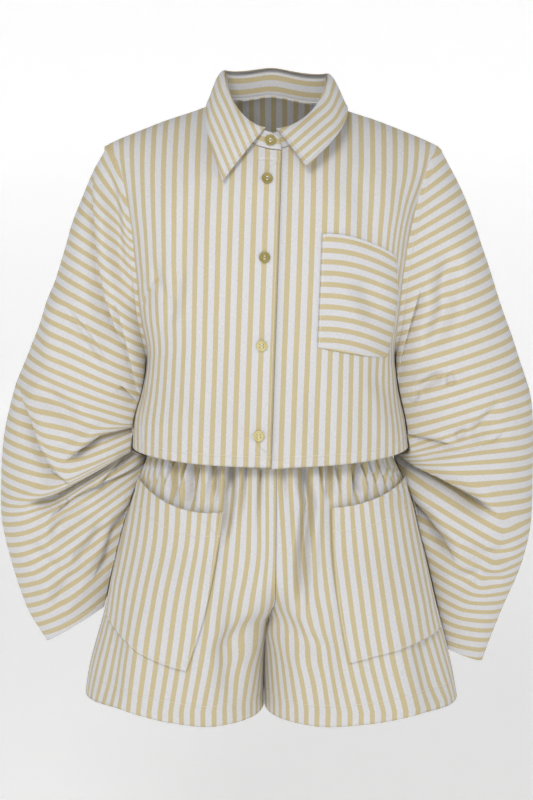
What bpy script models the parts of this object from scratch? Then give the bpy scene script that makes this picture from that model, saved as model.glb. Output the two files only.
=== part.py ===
"""Cropped button shirt with wide curved sleeves, and gathered shorts, in their worn shape.

Metres, +Z up, the front faces -Y and +X is the wearer's left. The origin is inside the neck, at
the height where the shoulder seams meet the collar. Every cloth piece is a thin wall: a grid of
outer points on a surface that a function works out, and the same grid moved in by WALL.
"""

import bmesh
import bpy
import numpy as np
from mathutils import Vector

WALL = 0.0016
SEAM_GAP = 0.0003
SQUARENESS = 0.87
SIDE_Y = 0.004
TINY = 1e-4
SEAM_STEP = 0.01
HEIGHT_PASSES = 8

RIGHT, LEFT = -1, 1


def curve(place, knots, heights):
    """Smooth curve through the points (knots, heights) that never overshoots them."""
    steps = np.diff(heights) / np.diff(knots)
    slopes = np.gradient(heights, knots)
    most = 2 * np.minimum(np.abs(steps[:-1]), np.abs(steps[1:]))
    rising = steps[:-1] * steps[1:] > 0
    slopes[1:-1] = np.where(rising, np.clip(slopes[1:-1], -most, most), 0)
    place = np.clip(place, knots[0], knots[-1])
    row = np.clip(np.searchsorted(knots, place, side="right") - 1, 0, len(knots) - 2)
    span = knots[row + 1] - knots[row]
    u = (place - knots[row]) / span
    start = (1 + 2 * u) * (1 - u) ** 2 * heights[row] + u * (1 - u) ** 2 * span * slopes[row]
    end = u**2 * (3 - 2 * u) * heights[row + 1] + u**2 * (u - 1) * span * slopes[row + 1]
    return start + end


class Table:
    """Rows of sizes under named columns, read as smooth curves of the first column."""

    def __init__(self, columns, *rows):
        self.columns = columns.split()
        self.rows = np.array(sorted(rows), float)

    def at(self, place, column):
        return curve(place, self.rows[:, 0], self.rows[:, self.columns.index(column)])


# Shirt body: the cloth's widest points, and how far its front and back stand out, at each height
BODY = Table(
    "z left right front back",
    (-0.450, -0.181, 0.180, -0.124, 0.108),
    (-0.400, -0.178, 0.174, -0.121, 0.104),
    (-0.360, -0.167, 0.165, -0.118, 0.101),
    (-0.317, -0.161, 0.160, -0.117, 0.100),
    (-0.260, -0.173, 0.171, -0.121, 0.103),
    (-0.200, -0.181, 0.180, -0.122, 0.108),
    (-0.140, -0.190, 0.190, -0.116, 0.110),
    (-0.090, -0.201, 0.204, -0.106, 0.104),
    (-0.040, -0.216, 0.222, -0.092, 0.092),
    (0.050, -0.232, 0.238, -0.072, 0.075),
)
# Height of the shoulder line, and of its rise under the collar, at each distance from the middle
SHOULDER = Table(
    "across z",
    (0.000, 0.0300),
    (0.068, 0.0085),
    (0.100, -0.0035),
    (0.135, -0.0150),
    (0.173, -0.0298),
    (0.200, -0.0410),
    (0.215, -0.0485),
    (0.240, -0.0620),
)
SHOULDER_ROUND = 0.13
HEM_FRONT_Z = -0.4425
HEM_SIDE_RISE = 0.008
HEM_SIDE_X = 0.18
UNDERLAP_DROP = 0.0025

# Armhole seam from the shoulder tip (0) to the underarm (1), as shares of the body's half-width
ARMHOLE = Table(
    "down right left",
    (0.00, 0.968, 0.980),
    (0.07, 0.944, 0.950),
    (0.20, 0.936, 0.947),
    (0.35, 0.938, 0.946),
    (0.50, 0.948, 0.939),
    (0.65, 0.958, 0.941),
    (0.80, 0.971, 0.957),
    (0.92, 0.989, 0.984),
    (1.00, 1.000, 1.000),
)
TIP_X = {RIGHT: -0.208, LEFT: 0.215}
UNDERARM_Z = {RIGHT: -0.320, LEFT: -0.312}
SIDE_SEAM_ANGLE = {RIGHT: np.radians(64), LEFT: np.radians(84)}

# Neckline, placket and overlap
COLLAR_X = 0.006
NECK_HALF = 0.067
NECK_FRONT_Z = -0.052
NECK_BACK_Z = 0.014
PLACKET_TOP_X = 0.0123
PLACKET_LEAN = 0.033
LAP = 0.024
LAP_DEPTH = 0.0042
LAP_FADE = 0.030

# Points that the body, each half of the shorts and the waistband face away from
BODY_INSIDE = (0.0, 0.0, -0.25)
LEG_INSIDE = (0.11, 0.0, -0.60)
WAIST_INSIDE = (0.0, 0.0, -0.42)

# Rows of the front's grid: its neckline starts at NECK_ROW and its armhole at UNDERARM_ROW
FRONT_COLUMNS, FRONT_ROWS, BACK_COLUMNS = 12, 16, 24
NECK_ROW, UNDERARM_ROW = 11 / 16, 4 / 16
# Share of the back's top edge that is one shoulder seam, before its neckline
NECK_START = 1 / 3


def blend(start, end, place):
    """0 before start, 1 after end, and a soft step between."""
    u = np.clip((place - start) / (end - start), 0, 1)
    return u * u * (3 - 2 * u)


def mix(first, second, share):
    return first + (second - first) * share


def power(value):
    """Signed power that squares off a circle a little, as a worn garment's section is."""
    return np.sign(value) * np.abs(value) ** SQUARENESS


def shoulder_z(x):
    return SHOULDER.at(np.abs(x), "z")


def hem_z(x):
    return HEM_FRONT_Z + HEM_SIDE_RISE * (x / HEM_SIDE_X) ** 2


def body_middle(z):
    return (BODY.at(z, "left") + BODY.at(z, "right")) / 2


def body_half(z):
    return (BODY.at(z, "right") - BODY.at(z, "left")) / 2


def body_point(angle, height):
    """Outer face of the shirt's body.

    angle turns from centre front (0) to the wearer's left side (90 degrees) and centre back, and
    height rises from the hem (0) to the shoulder line (1).
    """
    angle, height = np.broadcast_arrays(angle, height)
    z = np.full(angle.shape, UNDERARM_Z[RIGHT])
    for _ in range(HEIGHT_PASSES):
        x = body_middle(z) + body_half(z) * power(np.sin(angle))
        z = mix(hem_z(x), shoulder_z(x), height)
    reach = np.where(np.cos(angle) > 0, BODY.at(z, "front"), BODY.at(z, "back")) - SIDE_Y
    below = np.clip((shoulder_z(x) - z) / SHOULDER_ROUND, 0, 1)
    rounding = np.sqrt(1 - (1 - below) ** 2)
    y = SIDE_Y + reach * np.abs(power(np.cos(angle))) * rounding
    return np.stack([x, y, z], -1)


def body_place(x, z, faces_back=False):
    """The angle and height of the body's point that is seen at (x, z)."""
    height = (z - hem_z(x)) / (shoulder_z(x) - hem_z(x))
    across = np.clip((x - body_middle(z)) / body_half(z), -1, 1)
    angle = np.arcsin(np.sign(across) * np.abs(across) ** (1 / SQUARENESS))
    if faces_back:
        angle = np.where(angle < 0, -np.pi, np.pi) - angle
    return angle, height


def placket_x(z):
    """The edge of the upper front, which leans a little across the body."""
    return PLACKET_TOP_X + (z - NECK_FRONT_Z) * PLACKET_LEAN


def armhole_xz(side, turn):
    """The armhole seam as seen from the front; turn is 0 at the shoulder tip, 1 at the underarm."""
    down = (1 - np.cos(np.pi * turn)) / 2
    z = mix(shoulder_z(TIP_X[side]), UNDERARM_Z[side], down)
    share = ARMHOLE.at(down, "right" if side == RIGHT else "left")
    return body_middle(z) + side * share * body_half(z), z


def neckline_xz(side, turn):
    """The front neckline from the placket's edge (0) to the shoulder (1)."""
    start = placket_x(NECK_FRONT_Z) - (LAP if side == LEFT else 0)
    end = COLLAR_X + side * NECK_HALF
    sweep = (1 - (1 - turn) ** 1.5) * np.pi / 2
    x = mix(start, end, np.sin(sweep))
    return x, mix(NECK_FRONT_Z, shoulder_z(end), 1 - np.cos(sweep))


def inner_edge(side, t):
    """Placket edge, then neckline, as angle and height, from hem (0) to shoulder (1)."""
    z = mix(HEM_FRONT_Z, NECK_FRONT_Z, np.clip(t / NECK_ROW, 0, 1))
    x = placket_x(z) - (LAP if side == LEFT else 0)
    neck_x, neck_z = neckline_xz(side, np.clip((t - NECK_ROW) / (1 - NECK_ROW), 0, 1))
    on_neck = t > NECK_ROW
    return body_place(np.where(on_neck, neck_x, x), np.where(on_neck, neck_z, z))


def outer_edge(side, t, faces_back=False):
    """Side seam, then armhole, as angle and height, from hem (0) to shoulder (1)."""
    turn = 1 - np.clip((t - UNDERARM_ROW) / (1 - UNDERARM_ROW), 0, 1)
    angle, height = body_place(*armhole_xz(side, turn), faces_back)
    under_angle, under_height = body_place(*armhole_xz(side, 1.0))
    rise = np.clip(t / UNDERARM_ROW, 0, 1)
    seam_angle = mix(side * SIDE_SEAM_ANGLE[side], under_angle, rise**2)
    on_seam = t <= UNDERARM_ROW
    return np.where(on_seam, seam_angle, angle), np.where(on_seam, rise * under_height, height)


def front_surface(side):
    def surface(s, t):
        inner, outer = inner_edge(side, t), outer_edge(side, t)
        points = body_point(mix(inner[0], outer[0], s), mix(inner[1], outer[1], s))
        if side == LEFT:
            from_edge = points[..., 0] - (placket_x(points[..., 2]) - LAP)
            under = 1 - blend(LAP, LAP + LAP_FADE, from_edge)
            points[..., 1] += LAP_DEPTH * under
            points[..., 2] -= UNDERLAP_DROP * under * (1 - t) ** 2
        return points

    return surface


def back_surface(s, t):
    """Back panel, from the wearer's right side seam (s = 0) over centre back to the left (1)."""
    right = outer_edge(RIGHT, t, faces_back=True)
    left = outer_edge(LEFT, t, faces_back=True)
    start = right[0] + np.where(right[0] < 0, 2 * np.pi, 0)
    neck = [
        body_place(COLLAR_X + side * NECK_HALF, shoulder_z(COLLAR_X + side * NECK_HALF), True)[0]
        for side in (RIGHT, LEFT)
    ]
    tips = [float(outer_edge(side, np.array(1.0), True)[0]) for side in (RIGHT, LEFT)]
    top = (tips[0] + 2 * np.pi, neck[0] + 2 * np.pi, neck[1], tips[1])
    spread = np.interp(s, (0, NECK_START, 1 - NECK_START, 1), top)
    spread = (spread - top[0]) / (top[3] - top[0])
    angle = mix(start, left[0], mix(s, spread, t**4))
    height = mix(right[1], left[1], s)
    from_middle = np.clip(np.abs(s - 0.5) / (0.5 - NECK_START), 0, 1)
    drop = (shoulder_z(0.0) - NECK_BACK_Z) / (shoulder_z(0.0) - HEM_FRONT_Z)
    return body_point(angle, height * (1 - drop * (1 - from_middle**2.5) * t**8))


# Collar: heights of the stand, its lean, and the free edge of the turned-down part, which is
# read from the wearer's right point (0) round the back (0.5) to the left point (1)
FRONT_NECK_SHARE = 10 / 28
NECK_CENTRE_Y = -0.015
STAND_FRONT, STAND_BACK = 0.021, 0.033
STAND_RISE_PLACE = (0.05, 0.30)
STAND_CORNER = 0.035
STAND_CORNER_HEIGHT = 0.35
STAND_DRAW_IN = 0.06
STAND_SEAM_GAP = 0.0009
FALL_ENDS = (0.043, 0.968)
FALL_LIFT = 0.0032
FALL_OUT = 0.0014
FALL_BULGE = 0.005
FALL_UPWARD = 0.03
FALL_FULL_PLACE = (-0.03, 0.06)
FALL_EDGE = Table(
    "along x y z",
    (0.00, -0.0600, -0.1110, -0.0890),
    (0.08, -0.0680, -0.1050, -0.0640),
    (0.16, -0.0770, -0.0900, -0.0360),
    (0.24, -0.0810, -0.0640, -0.0130),
    (0.32, -0.0810, -0.0200, 0.0060),
    (0.38, -0.0720, 0.0220, 0.0090),
    (0.44, -0.0480, 0.0560, 0.0010),
    (0.50, 0.0060, 0.0660, -0.0030),
    (0.56, 0.0600, 0.0560, 0.0010),
    (0.62, 0.0880, 0.0220, 0.0060),
    (0.68, 0.0960, -0.0200, 0.0010),
    (0.76, 0.0920, -0.0640, -0.0150),
    (0.84, 0.0800, -0.0950, -0.0340),
    (0.92, 0.0620, -0.1100, -0.0530),
    (1.00, 0.0426, -0.1180, -0.0716),
)
COLLAR_COLUMNS = 28

# Patch pockets as seen from the front: corners (left top, right top, right bottom, left bottom),
# then how far the top, right, bottom and left edges bow up or to the right
CHEST_POCKET = (
    ((0.0620, -0.1530), (0.1555, -0.1830), (0.1465, -0.3127), (0.0564, -0.2930)),
    (0.003, 0.006, -0.001, 0.0),
)
SHORTS_POCKETS = {
    RIGHT: (
        ((-0.1680, -0.4740), (-0.0605, -0.5030), (-0.1080, -0.7070), (-0.2140, -0.6520)),
        (-0.012, 0.007, -0.008, 0.0),
    ),
    LEFT: (
        ((0.0750, -0.4980), (0.1700, -0.4740), (0.2200, -0.6700), (0.0990, -0.6960)),
        (-0.006, 0.0, 0.002, -0.006),
    ),
}
CHEST_POCKET_GRID = (8, 7)
SHORTS_POCKET_GRID = (8, 12)
POCKET_WALL = 0.0012
POCKET_LIFT = 0.0024
SHORTS_POCKET_LIFT = 0.0032
MOUTH_GAPE = 0.0070
MOUTH_SPAN = (0.08, 0.92)

# Sleeves: outer and inner end of each ring, and its depth either side of its middle
SLEEVES = {
    RIGHT: Table(
        "along outer_x outer_z inner_x inner_z depth middle_y",
        (0.0, -0.2080, -0.0445, -0.1600, -0.320, 0.052, 0.004),
        (0.1, -0.2450, -0.1105, -0.1600, -0.331, 0.060, 0.006),
        (0.2, -0.2655, -0.1790, -0.1590, -0.348, 0.066, 0.012),
        (0.3, -0.2885, -0.2460, -0.1580, -0.368, 0.071, 0.020),
        (0.4, -0.3155, -0.3120, -0.1590, -0.392, 0.075, 0.026),
        (0.5, -0.3410, -0.3785, -0.1610, -0.418, 0.077, 0.030),
        (0.6, -0.3540, -0.4485, -0.1610, -0.448, 0.077, 0.032),
        (0.7, -0.3575, -0.5195, -0.1610, -0.482, 0.073, 0.032),
        (0.8, -0.3460, -0.5900, -0.1700, -0.530, 0.064, 0.032),
        (0.9, -0.3250, -0.6560, -0.1870, -0.586, 0.051, 0.032),
        (1.0, -0.3005, -0.7030, -0.2020, -0.640, 0.037, 0.034),
    ),
    LEFT: Table(
        "along outer_x outer_z inner_x inner_z depth middle_y",
        (0.0, 0.2150, -0.0485, 0.1590, -0.312, 0.052, 0.004),
        (0.1, 0.2500, -0.1125, 0.1590, -0.323, 0.060, 0.006),
        (0.2, 0.2730, -0.1790, 0.1580, -0.338, 0.066, 0.012),
        (0.3, 0.2960, -0.2450, 0.1570, -0.356, 0.071, 0.020),
        (0.4, 0.3210, -0.3130, 0.1580, -0.377, 0.075, 0.026),
        (0.5, 0.3430, -0.3825, 0.1600, -0.402, 0.077, 0.030),
        (0.6, 0.3465, -0.4535, 0.1610, -0.434, 0.077, 0.032),
        (0.7, 0.3455, -0.5245, 0.1650, -0.476, 0.073, 0.032),
        (0.8, 0.3340, -0.5945, 0.1770, -0.538, 0.064, 0.032),
        (0.9, 0.3090, -0.6615, 0.1960, -0.618, 0.051, 0.034),
        (1.0, 0.2840, -0.7300, 0.2140, -0.700, 0.036, 0.036),
    ),
}
SLEEVE_COLUMNS, SLEEVE_ROWS = 24, 26
CAP_LENGTH = 0.17
CAP_GAP = 1.5 * SEAM_GAP
SLEEVE_CLEAR = 0.0041
CLEAR_START = 0.10
HEM_CLEAR_Z, SHORTS_CLEAR_Z = -0.449, -0.474

# Largest folds of each sleeve: a line across its front from one (x, z) to another, and then how
# wide and how deep its trough is. Each one deepens and dies out over a share of its length.
FOLD_DEEPENS, FOLD_DIES = (-0.15, 0.15), (0.7, 1.1)
SLEEVE_FOLDS = {
    RIGHT: (
        (-0.236, -0.110, -0.205, -0.290, 0.018, 0.010),
        (-0.328, -0.372, -0.255, -0.490, 0.020, 0.011),
        (-0.172, -0.440, -0.310, -0.508, 0.018, 0.014),
        (-0.178, -0.478, -0.290, -0.560, 0.018, 0.009),
        (-0.190, -0.520, -0.236, -0.610, 0.016, 0.008),
    ),
    LEFT: (
        (0.236, -0.200, 0.212, -0.310, 0.018, 0.008),
        (0.165, -0.445, 0.285, -0.510, 0.018, 0.014),
        (0.190, -0.430, 0.300, -0.400, 0.017, 0.009),
        (0.188, -0.512, 0.236, -0.580, 0.017, 0.009),
    ),
}

# Shorts: widest points and how far front and back stand out at each height
SHORTS = Table(
    "z left right front back",
    (-0.790, -0.251, 0.252, -0.106, 0.116),
    (-0.720, -0.236, 0.236, -0.108, 0.119),
    (-0.660, -0.221, 0.221, -0.110, 0.122),
    (-0.600, -0.208, 0.207, -0.110, 0.122),
    (-0.545, -0.195, 0.194, -0.108, 0.118),
    (-0.505, -0.183, 0.184, -0.104, 0.112),
    (-0.475, -0.171, 0.171, -0.100, 0.106),
    (-0.438, -0.158, 0.155, -0.094, 0.099),
    (-0.400, -0.154, 0.152, -0.091, 0.096),
)
# Where each half's inner edge lies: the centre seam, then the inseam
INSEAM = Table(
    "z right left",
    (-0.790, -0.0100, -0.0088),
    (-0.700, -0.0098, -0.0086),
    (-0.660, -0.0050, -0.0038),
    (-0.620, 0.0050, 0.0056),
    (-0.400, 0.0068, 0.0071),
)
SHORTS_TOP_Z = -0.4380
SHORTS_HEM_Z = -0.7850
SHORTS_HEM_SIDE_RISE = {RIGHT: 0.0235, LEFT: 0.0170}
SHORTS_HEM_RISE_PLACE = (0.35, 0.72)
SHORTS_HEM_INNER_RISE = 0.004
CROTCH_START_Z = -0.545
CROTCH_Z = -0.703
SHORTS_SIDE_Y = 0.006
ROW_SPREAD = 1.25
SHORTS_COLUMNS, SHORTS_ROWS = 24, 12
GATHERS = 12
GATHER_DEPTH = 0.0030
GATHER_END_Z = -0.56
GATHER_UNEVEN = 0.30
GATHER_LENGTHS = 0.045

WAISTBAND_TOP_Z = -0.400

BUTTON_RADIUS = 0.0069
BUTTON_THICKNESS = 0.0026
STAND_BUTTON_CLEAR = 0.0006
# Height of each button on the placket, and how far it is set off the front's curve, which the
# front's flat faces lie a little inside
BUTTONS = ((-0.0860, -0.0001), (-0.1815, -0.0001), (-0.2905, 0.0003), (-0.4030, 0.0003))
STAND_BUTTON = (0.029, 0.50)
BUTTON_FROM_EDGE = 0.0163
BUTTON_SIDES = 20
FIELD_X, FIELD_Z = -0.5, -1.0

CLOTH_COLOUR, CLOTH_ROUGHNESS = (0.72, 0.70, 0.60), 0.9
BUTTON_COLOUR, BUTTON_ROUGHNESS = (0.42, 0.36, 0.12), 0.35
BUTTON_RIM = 0.0014
BUTTON_DISH = 0.0006


def leg_section(side, z):
    """Angle, middle and half-width of one half of the shorts at height z.

    Above the crotch the half runs from the centre seam (angle 0) to the side; below it the angle
    starts at the inseam (-90 degrees), and the half is a whole leg.
    """
    inner = INSEAM.at(z, "right" if side == RIGHT else "left")
    outer = SHORTS.at(z, "left" if side == RIGHT else "right")
    start = -np.pi / 2 * blend(CROTCH_START_Z, CROTCH_Z, z)
    half = (outer - inner) / (1 - power(np.sin(start)))
    return start, outer - half, half


def clear_x(side, y, z, clearance):
    """The least x, on one side, that clears the shirt's body, and below its hem the shorts."""

    def limit(table, middle, half, side_y):
        reach = np.where(y < side_y, side_y - table.at(z, "front"), table.at(z, "back") - side_y)
        across = np.clip(np.abs(y - side_y) / (reach + clearance), 0, 1)
        shape = (1 - across ** (2 / SQUARENESS)) ** (SQUARENESS / 2)
        return middle + side * (half + clearance) * shape

    _, leg_middle, leg_half = leg_section(side, z)
    upper = limit(BODY, body_middle(z), body_half(z), SIDE_Y)
    lower = limit(SHORTS, leg_middle, side * leg_half, SHORTS_SIDE_Y)
    return mix(upper, lower, blend(HEM_CLEAR_Z, SHORTS_CLEAR_Z, z))


def fold_depth(side, x, z):
    """How far the sleeve's cloth sinks at (x, z), from the table of folds."""
    depth = np.zeros(np.shape(x))
    for from_x, from_z, to_x, to_z, width, deep in SLEEVE_FOLDS[side]:
        along_x, along_z = to_x - from_x, to_z - from_z
        length = np.hypot(along_x, along_z)
        share = ((x - from_x) * along_x + (z - from_z) * along_z) / length**2
        away = ((x - from_x) * along_z - (z - from_z) * along_x) / length
        ends = blend(*FOLD_DEEPENS, share) * (1 - blend(*FOLD_DIES, share))
        depth = depth + deep * ends * np.exp(-((away / width) ** 2))
    return depth


def armhole_ring(side, s):
    """Points round the armhole seam, the body's normals there, and the way on to the sleeve."""

    def seam(s):
        s = np.mod(s, 1)
        x, z = armhole_xz(side, 1 - np.abs(1 - 2 * s))
        front, back = body_place(x, z), body_place(x, z, True)
        angle = np.where(s < 0.5, front[0], back[0])
        return angle, np.minimum(front[1], 1 - TINY**2)

    angle, height = seam(s)
    turn = body_point(angle + TINY, height) - body_point(angle - TINY, height)
    rise = body_point(angle, height) - body_point(angle, height - TINY)
    along = body_point(*seam(s + SEAM_STEP)) - body_point(*seam(s - SEAM_STEP))
    normals = np.cross(turn, rise)
    normals /= np.linalg.norm(normals, axis=-1, keepdims=True)
    onward = np.cross(along, normals) * -side
    onward /= np.linalg.norm(onward, axis=-1, keepdims=True)
    return body_point(angle, height), normals, onward


def sleeve_surface(side):
    """Sleeve from the armhole (t = 0) to the cuff (t = 1); s turns from its outer edge."""
    table = SLEEVES[side]

    def surface(s, t):
        s, t = np.broadcast_arrays(s, t)
        turn = 2 * np.pi * s
        share = (1 - np.cos(turn)) / 2
        x = mix(table.at(t, "outer_x"), table.at(t, "inner_x"), share)
        z = mix(table.at(t, "outer_z"), table.at(t, "inner_z"), share)
        y = table.at(t, "middle_y") - table.at(t, "depth") * power(np.sin(turn))
        y = y + np.sign(np.sin(turn)) * fold_depth(side, x, z) * np.abs(np.sin(turn))
        seam, _, onward = armhole_ring(side, s)
        free = blend(0, CAP_LENGTH, t)[..., None]
        points = mix(seam + onward * CAP_GAP, np.stack([x, y, z], -1), free)
        clearance = SLEEVE_CLEAR * blend(0, CLEAR_START, t)
        least = side * clear_x(side, points[..., 1], points[..., 2], clearance)
        reach = np.maximum(side * points[..., 0], least)
        points[..., 0] = np.where(t > TINY, side * reach, points[..., 0])
        return points

    return surface


def shorts_point(side, turn, z, faces_back):
    """Outer face of one half of the shorts; turn is 0 at its inner edge and 1 at the side seam."""
    start, middle, half = leg_section(side, z)
    angle = mix(start, np.pi / 2, turn)
    reach = SHORTS.at(z, "back" if faces_back else "front") - SHORTS_SIDE_Y
    x = middle + half * power(np.sin(angle))
    y = SHORTS_SIDE_Y + reach * np.abs(power(np.cos(angle)))
    return np.stack(np.broadcast_arrays(x, y, z), -1)


def shorts_hem_z(side, turn):
    """Height of the hem, which rises to the side seam and a little to the inseam."""
    rise = SHORTS_HEM_SIDE_RISE[side] * blend(*SHORTS_HEM_RISE_PLACE, turn)
    return SHORTS_HEM_Z + rise + SHORTS_HEM_INNER_RISE * (1 - turn) ** 3


def shorts_surface(side, faces_back):
    """Leg panel from its inner edge (s = 0) to the side seam (1), waist (t = 0) to hem (1)."""

    def surface(s, t):
        s, t = np.broadcast_arrays(s, t)
        z = mix(SHORTS_TOP_Z, shorts_hem_z(side, s), t**ROW_SPREAD)
        return shorts_point(side, s, z, faces_back)

    return surface


def gather_wave(s, z, seed):
    """Uneven gathers under the waistband: one out and one in for each, dying out below."""
    wave = np.cos(2 * np.pi * GATHERS * s)
    uneven = 1 - GATHER_UNEVEN * (1 + np.sin(9.1 * s + 2.3 * seed))
    length = GATHER_LENGTHS * np.sin(13.0 * s + 1.7 * seed)
    return GATHER_DEPTH * uneven * wave * (1 - blend(SHORTS_TOP_Z, GATHER_END_Z + length, z))


def front_neckline(side, share):
    """The front panel's neck edge as built, straight between its rows: placket 0, shoulder 1."""
    row = mix(NECK_ROW, 1, np.clip(share, 0, 1)) * FRONT_ROWS
    lower = np.minimum(np.floor(row + TINY), FRONT_ROWS - 1)
    surface = front_surface(side)
    start = surface(0.0 * row, lower / FRONT_ROWS)
    end = surface(0.0 * row, (lower + 1) / FRONT_ROWS)
    return mix(start, end, (row - lower)[..., None])


def neck_ring(along):
    """Neckline from the upper front's edge (0) round the back to the lower front's edge (1)."""
    right = front_neckline(RIGHT, along / FRONT_NECK_SHARE)
    left = front_neckline(LEFT, (1 - along) / FRONT_NECK_SHARE)
    share = np.clip((along - FRONT_NECK_SHARE) / (1 - 2 * FRONT_NECK_SHARE), 0, 1)
    back = back_surface(mix(NECK_START, 1 - NECK_START, share), np.ones_like(along))
    on_right = (along < FRONT_NECK_SHARE)[..., None]
    on_left = (along > 1 - FRONT_NECK_SHARE)[..., None]
    return np.where(on_right, right, np.where(on_left, left, back))


def stand_surface(s, t):
    """Collar stand: the neckline, carried up and drawn in a little; its front ends are rounded."""
    s, t = np.broadcast_arrays(s, t)
    points = neck_ring(s).copy()
    from_end = np.minimum(s, 1 - s)
    height = mix(STAND_FRONT, STAND_BACK, blend(*STAND_RISE_PLACE, from_end))
    corner = np.clip(1 - from_end / STAND_CORNER, 0, 1)
    height = height * mix(STAND_CORNER_HEIGHT, 1, np.sqrt(1 - corner**2))
    for axis, centre in ((0, COLLAR_X), (1, NECK_CENTRE_Y)):
        points[..., axis] -= (points[..., axis] - centre) * STAND_DRAW_IN * t
    points[..., 2] += STAND_SEAM_GAP + height * t
    return points


def fall_surface(s, t):
    """Turned-down collar, from its fold over the stand (t = 0) to its free edge (1)."""
    s, t = np.broadcast_arrays(s, t)
    fold = stand_surface(mix(*FALL_ENDS, s), np.ones_like(t))
    fold[..., 2] += FALL_LIFT
    edge = np.stack([FALL_EDGE.at(s, axis) for axis in ("x", "y", "z")], -1)
    points = mix(fold, edge, t[..., None])
    away = points - np.array([COLLAR_X, NECK_CENTRE_Y, 0])
    away[..., 2] = FALL_UPWARD
    away /= np.linalg.norm(away, axis=-1, keepdims=True)
    full = blend(*FALL_FULL_PLACE, np.minimum(s, 1 - s))
    bulge = FALL_BULGE * full * np.sin(np.pi * np.sqrt(t)) + FALL_OUT * (1 - t)
    return points + away * bulge[..., None]


def patch_xz(corners, s, t):
    """Seen position in a patch with four corners and edges bowed by the given heights."""
    (tl, tr, br, bl), (top, right, bottom, left) = corners
    arch_s, arch_t = 4 * s * (1 - s), 4 * t * (1 - t)
    x = mix(mix(tl[0], tr[0], s), mix(bl[0], br[0], s), t) + arch_t * mix(left, right, s)
    z = mix(mix(tl[1], tr[1], s), mix(bl[1], br[1], s), t) + arch_s * mix(top, bottom, t)
    return x, z


def chest_pocket_surface(s, t):
    return body_point(*body_place(*patch_xz(CHEST_POCKET, s, t)))


def shorts_pocket_surface(side):
    """Patch pocket, on the points of its front panel that are seen behind it."""

    def surface(s, t):
        x, z = patch_xz(SHORTS_POCKETS[side], *np.broadcast_arrays(s, t))
        start, middle, half = leg_section(side, z)
        across = np.clip((x - middle) / half, -1, 1)
        angle = np.arcsin(np.sign(across) * np.abs(across) ** (1 / SQUARENESS))
        return shorts_point(side, (angle - start) / (np.pi / 2 - start), z, False)

    return surface


def waistband_surface(s, t):
    """Closed band from the shorts' top edge (t = 0) up; s turns once round the waist."""
    s, t = np.broadcast_arrays(s, t)
    angle = 2 * np.pi * s
    z = mix(SHORTS_TOP_Z + SEAM_GAP, WAISTBAND_TOP_Z, t)
    middle = (SHORTS.at(z, "left") + SHORTS.at(z, "right")) / 2
    half = (SHORTS.at(z, "right") - SHORTS.at(z, "left")) / 2
    reach = np.where(np.cos(angle) > 0, SHORTS.at(z, "front"), SHORTS.at(z, "back"))
    y = SHORTS_SIDE_Y + (reach - SHORTS_SIDE_Y) * np.abs(power(np.cos(angle)))
    return np.stack([middle + half * power(np.sin(angle)), y, z], -1)


def normals_of(surface, s, t, inside):
    """Unit normals of a surface, pointing away from the points inside it."""
    across = surface(np.minimum(s + TINY, 1), t) - surface(np.maximum(s - TINY, 0), t)
    up = surface(s, np.minimum(t + TINY, 1)) - surface(s, np.maximum(t - TINY, 0))
    normals = np.cross(across, up)
    normals /= np.linalg.norm(normals, axis=-1, keepdims=True)
    outward = np.sum(normals * (surface(s, t) - inside))
    return normals if outward > 0 else -normals


def trim(points, edges):
    """Draws the named edges of a grid back by half the seam gap."""
    rows = {"s0": (0, 1), "s1": (-1, -2)}
    for edge in edges:
        last, before = rows.get(edge, (0, 1) if edge == "t0" else (-1, -2))
        grid = points if edge in rows else np.swapaxes(points, 0, 1)
        step = grid[before] - grid[last]
        grid[last] += step / np.linalg.norm(step, axis=-1, keepdims=True) * SEAM_GAP / 2
    return points


def wall_faces(columns, rows, closed):
    """Quads of a thin wall: outer grid, inner grid and the rim that joins them."""
    across = columns if closed else columns + 1
    count = across * (rows + 1)
    outer = np.arange(count).reshape(across, rows + 1)
    faces = []

    def quads(a, b, c, d):
        faces.extend(np.stack([a, b, c, d], -1).reshape(-1, 4).tolist())

    follow = np.roll(outer, -1, axis=0) if closed else outer[1:]
    here = outer if closed else outer[:-1]
    quads(here[:, :-1], follow[:, :-1], follow[:, 1:], here[:, 1:])
    quads(here[:, :-1] + count, here[:, 1:] + count, follow[:, 1:] + count, follow[:, :-1] + count)
    for row in (0, rows):
        quads(here[:, row], follow[:, row], follow[:, row] + count, here[:, row] + count)
    if not closed:
        for column in (0, columns):
            edge = outer[column]
            quads(edge[:-1], edge[1:], edge[1:] + count, edge[:-1] + count)
    return faces


def add_mesh(name, points, faces, material):
    """One object from points and faces, its faces turned out, shaded smooth."""
    mesh = bpy.data.meshes.new(name)
    mesh.from_pydata(points.tolist(), [], faces)
    work = bmesh.new()
    work.from_mesh(mesh)
    bmesh.ops.recalc_face_normals(work, faces=work.faces)
    work.to_mesh(mesh)
    work.free()
    mesh.shade_smooth()
    mesh.materials.append(material)
    obj = bpy.data.objects.new(name, mesh)
    bpy.context.scene.collection.objects.link(obj)
    return obj


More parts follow.
